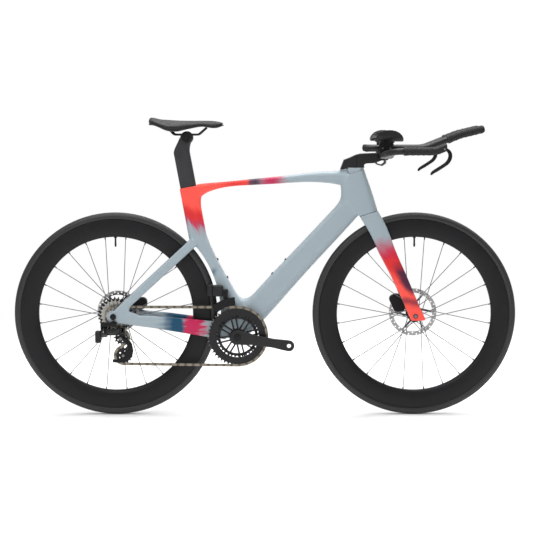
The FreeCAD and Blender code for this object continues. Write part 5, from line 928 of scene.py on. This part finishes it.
class BIKE_OT_frame_shell(BikeOperator, bpy.types.Operator):
    """Blends the tubes and stays of the frame into one moulded shell"""
    bl_idname = "time_trial.frame_shell"
    bl_label = "Frame Shell"

    def build(self, paint, finish, sizes):
        nodes = ("main_frame", "chainstays", "seatstays")
        bm = cad_copy(*nodes)
        self.fairing(bm)
        piece = new_object("frame_shell", bm)
        remeshed(piece, sizes.shell_voxel, sizes.shell_grow)
        keep_largest(piece)
        post = self.post_travel()
        clear = post, tree_of("fork", "frame_bearings", "rear_thru_axle", "rear_tyre", "headset_cover")
        deep = sizes.fillet_depth
        fill_hollows(piece, FRAME_CORNERS, clear, sizes.fillet_passes, deep, lengthwise=True)
        sides = both_sides(FRAME_SIDE_CORNERS)
        fill_hollows(piece, sides, clear, sizes.fillet_passes, deep / SIDE_FILLET_PART)
        stand_off(piece, post, POST_GAP)
        thinned(piece, FRAME_TRIANGLES)
        finish_piece(piece, "frame", frame_paint(paint), "frame_paint", *nodes, sharp=40)

    def post_travel(self):
        """The seat post at rest and at the foot of its slide."""
        joints = frame["record"]["behaviour"]["joints"]
        slide = next(joint for joint in joints if joint["name"] == "seat_post_slide")
        bm = cad_copy("seat_post")
        bmesh.ops.translate(bm, verts=bm.verts, vec=Vector(slide["axis"]) * slide["range_m"][0])
        bm.from_mesh(frame["nodes"]["seat_post"].data)
        tree = BVHTree.FromBMesh(bm)
        bm.free()
        return tree

    def fairing(self, bm):
        """Low block that carries the top tube up to the underside of the headset cover."""
        low, high = FAIRING_BOX
        place = Matrix.Translation((low + high) / 2) @ Matrix.Diagonal((*(high - low), 1))
        block = bmesh.ops.create_cube(bm, size=1, matrix=place)["verts"]
        edges = list({edge for vert in block for edge in vert.link_edges})
        bmesh.ops.bevel(
            bm, geom=edges, offset=FAIRING_BEVEL, segments=3, profile=0.5, affect="EDGES", material=-1
        )


class BIKE_OT_fork_shell(BikeOperator, bpy.types.Operator):
    """Blends the crown, legs and tips of the fork"""
    bl_idname = "time_trial.fork_shell"
    bl_label = "Fork Shell"

    def build(self, paint, finish, sizes):
        piece = new_object("fork_shell", cad_copy("fork"))
        remeshed(piece, sizes.fork_voxel, sizes.shell_grow)
        keep_largest(piece)
        clear = tree_of("front_thru_axle", "frame_bearings", "front_tyre", "main_frame")
        depth = sizes.fillet_depth / SIDE_FILLET_PART
        fill_hollows(piece, both_sides(FORK_CORNERS), (clear,), sizes.fillet_passes // 2, depth)
        thinned(piece, FORK_TRIANGLES)
        finish_piece(piece, "steering", fork_paint(paint), "frame_paint", "fork", sharp=40)


class BIKE_OT_wheels(BikeOperator, bpy.types.Operator):
    """Tyres, rims and spoke nipples of both wheels"""
    bl_idname = "time_trial.wheels"
    bl_label = "Wheels"

    def build(self, paint, finish, sizes):
        for wheel, axle in (("front", FRONT_AXLE), ("rear", REAR_AXLE)):
            body = wheel + "_wheel"
            rubber = tyre_rubber(wheel + "_tyre_rubber", axle, finish.tyre)
            bm = bmesh.new()
            ring_of(bm, self.tyre_section(), axle, sizes.wheel_steps)
            tyre = new_object(wheel + "_tyre_shell", bm)
            finish_piece(tyre, body, rubber, "tyre_black", wheel + "_tyre", sharp=50)
            bm = bmesh.new()
            ring_of(bm, self.rim_section(), axle, sizes.wheel_steps // 2)
            rim = new_object(wheel + "_rim_shell", bm)
            modifier(rim, "Round", "SUBSURF", levels=2, render_levels=2)
            apply_modifiers(rim)
            satin = carbon(wheel + "_rim_carbon", finish.carbon, 0.40, 0.2)
            finish_piece(rim, body, satin, "carbon_satin", wheel + "_rim", sharp=50)
            bm = bmesh.new()
            for end, inward in self.spoke_ends(wheel + "_spokes", axle):
                self.nipple(bm, end, inward, sizes)
            nipples = new_object(wheel + "_nipples", bm)
            finish_piece(nipples, body, alloy(wheel + "_nipple_alloy", finish.alloy), "black_alloy")

    def tyre_section(self):
        """Outer arc from bead to bead, then the inner one back."""
        section = TYRE_HALF_WIDTH
        middle = TYRE_RADIUS - section
        reach = math.acos((RIM_RADIUS - middle) / section)

        def arc(radius, steps):
            turns = [reach * (2 * i / steps - 1) for i in range(steps + 1)]
            return [(middle + radius * math.cos(turn), radius * math.sin(turn)) for turn in turns]

        tread = arc(section, TYRE_OUTER_STEPS)
        core = arc(section - TYRE_WALL, TYRE_INNER_STEPS)[::-1]
        bead = RIM_RADIUS - TYRE_BEAD
        edge = tread[-1][1]
        inside = edge - TYRE_WALL
        return tread + [(bead, edge), (bead, inside)] + core + [(bead, -inside), (bead, -edge)]

    def rim_section(self):
        """Deep rounded section, open round the tyre bed."""
        left = [(RIM_INNER_RADIUS + deep * RIM_DEPTH, wide * RIM_HALF_WIDTH) for deep, wide in RIM_SHARES]
        return left + [(radius, -wide) for radius, wide in reversed(left)]

    def spoke_ends(self, node, axle):
        """Where each spoke meets the rim, and the way back along it."""
        bm = cad_copy(node)
        ends = []
        for group in loose_parts(bm):
            group.sort(key=lambda vert: (vert.co - axle).xz.length)
            quarter = max(len(group) // 4, 1)
            near = sum((vert.co for vert in group[:quarter]), Vector()) / quarter
            far = sum((vert.co for vert in group[-quarter:]), Vector()) / quarter
            ends.append((far, (near - far).normalized()))
        bm.free()
        return ends

    def nipple(self, bm, end, inward, sizes):
        axle = FRONT_AXLE if end.x > 0 else REAR_AXLE
        past = (end - axle).xz.length - RIM_INNER_RADIUS
        foot = end + inward * (past - NIPPLE_SUNK)
        long = sizes.nipple_length
        radius = sizes.nipple_radius
        place = Matrix.Translation(foot + inward * long / 2) @ turned_to(inward)
        bmesh.ops.create_cone(
            bm, cap_ends=True, segments=10, radius1=radius, radius2=radius * 0.72, depth=long, matrix=place
        )


class BIKE_OT_padding(BikeOperator, bpy.types.Operator):
    """Padded saddle cover and arm pads"""
    bl_idname = "time_trial.padding"
    bl_label = "Padding"

    def build(self, paint, finish, sizes):
        leather = foam("saddle_leather", finish.saddle, 1700, 0.35)
        cloth = foam("pad_cloth", finish.pad, 900, 0.5)
        for name, node, body, cover, slot, fill in (
            ("saddle_padding", "saddle_cover", "seat", leather, "saddle_skin", 0.8),
            ("arm_rest_pads", "arm_pads", "steering", cloth, "pad_foam", 0.7),
        ):
            piece = self.padded(name, node, sizes)
            finish_piece(piece, body, cover, slot, node, sharp=70)

    def padded(self, name, node, sizes):
        """Swells a copy of the plain solid as filled cloth."""
        piece = new_object(name, cad_copy(node))
        modifier(piece, "Skin", "REMESH", mode="VOXEL", voxel_size=sizes.pad_voxel)
        modifier(piece, "Plump", "DISPLACE", strength=0.0006, mid_level=0)
        apply_modifiers(piece)
        before = [vert.co.copy() for vert in piece.data.vertices]
        self.inflate(piece)
        for vert, old in zip(piece.data.vertices, before):
            moved = vert.co - old
            if moved.length > sizes.pad_swell:
                vert.co = old + moved.normalized() * sizes.pad_swell
        modifier(piece, "Round", "SUBSURF", levels=1, render_levels=1)
        apply_modifiers(piece)
        return piece

    def inflate(self, piece):
        scene = bpy.context.scene
        cloth = modifier(piece, "Fill", "CLOTH")
        cloth.settings.use_pressure = True
        cloth.settings.uniform_pressure_force = 2
        cloth.settings.effector_weights.gravity = 0
        cloth.settings.tension_stiffness = 40
        cloth.settings.compression_stiffness = 40
        for step in range(1, 15):
            scene.frame_set(step)
        apply_modifiers(piece)
        scene.frame_set(1)


class BIKE_OT_chain(BikeOperator, bpy.types.Operator):
    """Chain in lengths: one on the sprockets, which rides the frame, and those by the two derailleurs,
    which ride no body
    """
    bl_idname = "time_trial.chain"
    bl_label = "Chain"

    def build(self, paint, finish, sizes):
        line = centre_of("chain").y
        steel = chain_steel(finish.chain, line)
        loop = new_object("chain_loop", self.length("chain_loop"))
        finish_piece(loop, "frame", steel, "chain_steel", "chain")
        for name, first, second, start, end in CHAIN_BENDS:
            piece = new_object(name, self.length(name))
            finish_piece(piece, None, steel, "chain_steel")
            start, end = [(x, line, z) for x, z in (start, end)]
            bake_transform(piece)

    def run(self, spot):
        """The length of chain that a link belongs to."""
        for name, low, high in CHAIN_RUNS:
            if low[0] < spot.x < high[0] and low[1] < spot.z < high[1]:
                return name
        return "chain_loop"

    def length(self, name):
        bm = cad_copy("chain")
        others = []
        for group in loose_parts(bm):
            middle = sum((vert.co for vert in group), Vector()) / len(group)
            if self.run(middle) != name:
                others += group
        bmesh.ops.delete(bm, geom=others, context="VERTS")
        return bm


def soft_copy(node, voxel, rounds):
    """A copy of a solid whose hard edges are rounded off."""
    piece = new_object(node + "_soft", cad_copy(node))
    modifier(piece, "Skin", "REMESH", mode="VOXEL", voxel_size=voxel)
    modifier(piece, "Settle", "SMOOTH", factor=0.5, iterations=rounds)
    modifier(piece, "Regain", "DISPLACE", strength=voxel * rounds * SOFT_REGAIN, mid_level=0)
    apply_modifiers(piece)
    thinned(piece, PART_TRIANGLES)
    return piece


class BIKE_OT_soft_parts(BikeOperator, bpy.types.Operator):
    """Rounds the hard edges of the moulded and forged parts"""
    bl_idname = "time_trial.soft_parts"
    bl_label = "Soft Parts"

    def build(self, paint, finish, sizes):
        satin = carbon("part_carbon", finish.carbon)
        black = alloy("part_alloy", finish.alloy)
        plastic = moulded("part_plastic", finish.moulded)
        rubber = moulded("hood_rubber", finish.tape, 0.62)
        post = carbon("post_carbon", finish.post, 0.40)
        rows = (
            ("stem", "steering", satin, "carbon_satin", 0.0011, 6),
            ("stem_cover", "steering", satin, "carbon_satin", 0.0011, 6),
            ("base_bar", "steering", satin, "carbon_satin", 0.0013, 4),
            ("extension_mounts", "steering", satin, "carbon_satin", 0.0010, 5),
            ("arm_cups", "steering", satin, "carbon_satin", 0.0011, 2),
            ("brake_hoods", "steering", rubber, "grip_rubber", 0.0010, 6),
            ("crank_arm_right", "crankset", satin, "carbon_satin", 0.0012, 7),
            ("crank_arm_left", "crankset", satin, "carbon_satin", 0.0012, 7),
            ("seat_post", "seat", post, "carbon_satin", 0.0015, 24),
            ("front_brake_caliper", "steering", black, "black_alloy", 0.0008, 16),
            ("rear_brake_caliper", "frame", black, "black_alloy", 0.0008, 16),
            ("rear_derailleur_knuckle", "frame", black, "black_alloy", 0.0008, 12),
            ("rd_lower_knuckle", "lower_knuckle", black, "black_alloy", 0.0008, 12),
            ("front_derailleur_body", "frame", plastic, "moulded_black", 0.0014, 60),
            ("derailleur_batteries", "frame", plastic, "moulded_black", 0.0014, 40),
            ("brake_lever_left", "left_lever", black, "black_alloy", 0.0009, 3),
            ("brake_lever_right", "right_lever", black, "black_alloy", 0.0009, 3),
        )
        for node, body, material, slot, voxel, rounds in rows:
            finish_piece(soft_copy(node, voxel, rounds), body, material, slot, node, sharp=50)


def stepped(corners, across, step):
    """Evenly spaced points along straight runs, with eased corners."""
    points = []
    for start, end in zip(corners, corners[1:]):
        a, b = Vector((start[0], across, start[1])), Vector((end[0], across, end[1]))
        steps = max(int((b - a).length / step), 1)
        points += [a.lerp(b, i / steps) for i in range(steps)]
    points.append(Vector((corners[-1][0], across, corners[-1][1])))
    for _ in range(EASE_ROUNDS):
        points[1:-1] = [(p + q * 2 + r) / 4 for p, q, r in zip(points, points[1:], points[2:])]
    return points


def swept(bm, points, sides, radius_at):
    """Tube along points in an upright plane. radius_at takes the distance gone, the turn and the place."""
    rings = []
    gone = 0
    for index, spot in enumerate(points):
        along = (points[min(index + 1, len(points) - 1)] - points[max(index - 1, 0)]).normalized()
        over = along.cross(SIDE)
        if index:
            gone += (spot - points[index - 1]).length
        ring = []
        for side in range(sides):
            turn = 2 * math.pi * side / sides
            way = SIDE * math.sin(turn) + over * math.cos(turn)
            ring.append(bm.verts.new(spot + way * radius_at(gone, turn, spot, way)))
        rings.append(ring)
    for one, two in zip(rings, rings[1:]):
        for side in range(sides):
            after = (side + 1) % sides
            bm.faces.new((one[side], two[side], two[after], one[after]))
    bm.faces.new(rings[0])
    bm.faces.new(list(reversed(rings[-1])))


class BIKE_OT_grip_tape(BikeOperator, bpy.types.Operator):
    """Wrapped tape on the grips and the extensions"""
    bl_idname = "time_trial.grip_tape"
    bl_label = "Grip Tape"

    def build(self, paint, finish, sizes):
        bm = bmesh.new()
        for way in (-1, 1):
            grip = stepped(GRIP_RUN, way * GRIP_SPACING, TAPE_STEP)
            swept(bm, grip, 36, self.wrap(GRIP_RADIUS, sizes, None))
            button = centre_of("shift_button_left" if way > 0 else "shift_button_right")
            run = stepped(EXTENSION_RUN, way * EXTENSION_SPACING, TAPE_STEP)
            swept(bm, run, 36, self.wrap(EXTENSION_RADIUS + TAPE_THICKNESS, sizes, button))
        bmesh.ops.recalc_face_normals(bm, faces=bm.faces)
        wrap = new_object("grip_wrap", bm)
        finish_piece(wrap, "steering", tape_grip(finish.tape), "grip_rubber", "bar_tape", sharp=60)

    def wrap(self, radius, sizes, button):
        """Skin of a spiral wrap: each turn laps over the last, and the start of the run is bound by a flat
        band.
        """
        def skin(gone, turn, spot, way):
            if button is not None:
                flat = spot + way * radius - button
                near = math.hypot(flat.x, flat.z) < BUTTON_RADIUS + TAPE_THICKNESS
                if near and abs(flat.y) < BUTTON_REACH:
                    return EXTENSION_RADIUS + 0.0001
            if gone < TAPE_BAND:
                return radius + sizes.tape_ridge * 1.1
            lap = (gone / sizes.tape_pitch - turn / (2 * math.pi)) % 1
            return radius + sizes.tape_ridge * (1 - lap) ** 1.5
        return skin


class BIKE_OT_fittings(BikeOperator, bpy.types.Operator):
    """Bolts, caps and end plugs"""
    bl_idname = "time_trial.fittings"
    bl_label = "Fittings"

    def build(self, paint, finish, sizes):
        steel = alloy("bolt_steel", finish.spoke, 0.34)
        black = alloy("cap_alloy", finish.alloy)
        rubber = moulded("plug_rubber", finish.moulded, 0.6)
        self.bolts(steel, black)
        for wheel, axle in (("front", FRONT_AXLE), ("rear", REAR_AXLE)):
            bm = bmesh.new()
            tip = RIM_INNER_RADIUS - VALVE_REACH
            place = Matrix.Translation(axle + UP * (tip + CAP_OVERLAP))
            thin, thick = CAP_RADII
            bmesh.ops.create_cone(
                bm, cap_ends=True, segments=16, radius1=thin, radius2=thick, depth=CAP_LENGTH, matrix=place
            )
            finish_piece(new_object(wheel + "_valve_cap", bm), wheel + "_wheel", rubber, "moulded_black")
        bm = bmesh.new()
        for way in (-1, 1):
            for run in (EXTENSION_TIP, EXTENSION_REAR):
                self.plug(bm, run, way * EXTENSION_SPACING)
        bmesh.ops.recalc_face_normals(bm, faces=bm.faces)
        finish_piece(new_object("extension_plugs", bm), "steering", rubber, "moulded_black", sharp=50)

    def bolts(self, steel, black):
        """Bolt heads on each body: place, the side each faces, its radius and its height."""
        def outer_face(node):
            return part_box(node)[0][1]

        def right(spot, face, radius, height):
            return (spot.x, face, spot.z), RIGHT, radius, height

        def pair(spot, face, radius, height):
            return [((spot.x, way * face, spot.z), SIDE * way, radius, height) for way in (-1, 1)]

        mounts = Vector((centre_of("extension_mounts").x, 0, EXTENSION_LEVEL))
        apart = 2 * math.pi / RING_BOLT_COUNT
        turns = [RING_BOLT_START + apart * index for index in range(RING_BOLT_COUNT)]
        ring = [CRANK_AXIS + Vector((math.cos(t), 0, math.sin(t))) * RING_BOLT_CIRCLE for t in turns]
        rows = (
            ("cockpit_bolts", "steering", steel, [
                *pair(mounts - MOUNT_BOLT, MOUNT_FACE, 0.0034, 0.0018),
                *pair(mounts + MOUNT_BOLT, MOUNT_FACE, 0.0034, 0.0018),
                *pair(HOOD_BOLT, HOOD_FACE, 0.0032, 0.0014),
                right(FRONT_AXLE, outer_face("front_thru_axle"), 0.0054, 0.0012),
            ]),
            ("frame_bolts", "frame", black, [
                right(REAR_AXLE, outer_face("rear_thru_axle"), 0.0078, 0.0014),
                right(REAR_AXLE + HANGER_BOLT, outer_face("rear_derailleur_knuckle"), 0.006, 0.0018),
            ]),
            ("clamp_bolts", "seat", black, pair(centre_of("saddle_clamp"), CLAMP_FACE, 0.0068, 0.0022)),
            ("knuckle_bolt", "lower_knuckle", steel, [
                right(centre_of("upper_pulley"), KNUCKLE_FACE, 0.0052, 0.0016),
            ]),
            ("cage_bolts", "cage", steel, [
                right(centre_of("lower_pulley"), outer_face("rd_cage") + CAGE_SUNK, 0.0046, 0.0016),
            ]),
            ("crank_bolts", "crankset", black, [
                *[right(spot, RING_BOLT_FACE, 0.0034, 0.0014) for spot in ring],
                *pair(CRANK_AXIS, CRANK_FACE, 0.0125, 0.0026),
            ]),
        )
        for name, body, material, heads in rows:
            bm = bmesh.new()
            for place, direction, radius, height in heads:
                socket_bolt(bm, Vector(place), direction, radius, height)
            finish_piece(new_object(name, bm), body, material, "black_alloy", sharp=40)

    def plug(self, bm, run, across):
        """Domed plug over the end of an extension."""
        start, end = [Vector((x, across, z)) for x, z in run]
        along = (end - start).normalized()
        points = [start] + [end + along * (PLUG_DOME * share) for share in PLUG_SHARES]
        radius = EXTENSION_RADIUS + PLUG_WALL

        def skin(gone, turn, spot, way):
            past = max((spot - end).dot(along), 0) / PLUG_DOME
            return radius * math.sqrt(max(1 - past * past, 0.01))

        swept(bm, points, 32, skin)


class BIKE_OT_finishes(BikeOperator, bpy.types.Operator):
    """Finishes of the solid parts that keep their own shape"""
    bl_idname = "time_trial.finishes"
    bl_label = "Finishes"

    def build(self, paint, finish, sizes):
        black = alloy("black_alloy", finish.alloy)
        satin = carbon("carbon_satin", finish.carbon)
        plastic = moulded("moulded_black", finish.moulded)

        def rotor(name, axle):
            return brushed(name, finish.steel, axle, ROTOR_TRACK, finish.alloy)

        def ring(name, edge):
            return ring_alloy(name, CRANK_AXIS, finish.alloy, finish.spoke, edge)

        looks = {
            frame_paint(paint): ["headset_cover"],
            satin: ["extensions", "saddle_shell"],
            black: ["front_hub", "rear_hub", "saddle_clamp", "derailleur_hanger", "bottle_bolts",
                    "front_thru_axle", "rear_thru_axle", "rd_outer_link", "rd_inner_link", "rd_cage",
                    "fd_cage", "freehub_body", "front_valve", "rear_valve", "saddle_rails"],
            alloy("spoke_steel", finish.spoke, 0.34): ["front_spokes", "rear_spokes"],
            rotor("front_rotor_steel", FRONT_AXLE): ["front_rotor"],
            rotor("rear_rotor_steel", REAR_AXLE): ["rear_rotor"],
            brushed("bearing_steel", finish.steel, CRANK_AXIS): ["frame_bearings"],
            ring("outer_ring_alloy", OUTER_TEETH): ["outer_chainring"],
            ring("inner_ring_alloy", INNER_TEETH): ["inner_chainring"],
            sprocket_steel(finish): ["cassette"],
            plastic: ["upper_pulley", "lower_pulley", "shift_button_left", "shift_button_right"],
            hose_jacket(finish.hose_highlight_grey): ["brake_hoses"],
        }
        for material, nodes in looks.items():
            for node in nodes:
                part = frame["nodes"][node]
                part.data.materials.clear()
                part.data.materials.append(material)


class BIKE_PT_panel(bpy.types.Panel):
    """Lists the steps that dress the bicycle"""
    bl_idname = "BIKE_PT_panel"
    bl_label = "Time Trial Bicycle"
    bl_space_type = "VIEW_3D"
    bl_region_type = "UI"
    bl_category = "Time Trial Bicycle"

    def draw(self, context):
        for step in STEPS:
            self.layout.operator(step.bl_idname)
        for group in (context.scene.bike_paint, context.scene.bike_finish, context.scene.bike_sizes):
            box = self.layout.box()
            for key in group.__annotations__:
                box.prop(group, key)


STEPS = (
    BIKE_OT_stage,
    BIKE_OT_frame_shell,
    BIKE_OT_fork_shell,
    BIKE_OT_wheels,
    BIKE_OT_chain,
    BIKE_OT_padding,
    BIKE_OT_soft_parts,
    BIKE_OT_grip_tape,
    BIKE_OT_fittings,
    BIKE_OT_finishes,
)
GROUPS = {"bike_paint": BikePaint, "bike_finish": BikeFinish, "bike_sizes": BikeSizes}


def register():
    for group in (*GROUPS.values(), *STEPS, BIKE_PT_panel):
        bpy.utils.register_class(group)
    for name, group in GROUPS.items():
        setattr(bpy.types.Scene, name, bpy.props.PointerProperty(type=group))


def unregister():
    for name in GROUPS:
        delattr(bpy.types.Scene, name)
    for group in (BIKE_PT_panel, *reversed(STEPS), *GROUPS.values()):
        bpy.utils.unregister_class(group)


def main():
    register()
    bpy.ops.time_trial.stage()
    bpy.ops.time_trial.frame_shell()
    bpy.ops.time_trial.fork_shell()
    bpy.ops.time_trial.wheels()
    bpy.ops.time_trial.chain()
    bpy.ops.time_trial.padding()
    bpy.ops.time_trial.soft_parts()
    bpy.ops.time_trial.grip_tape()
    bpy.ops.time_trial.fittings()
    bpy.ops.time_trial.finishes()


if __name__ == "__main__":
    main()
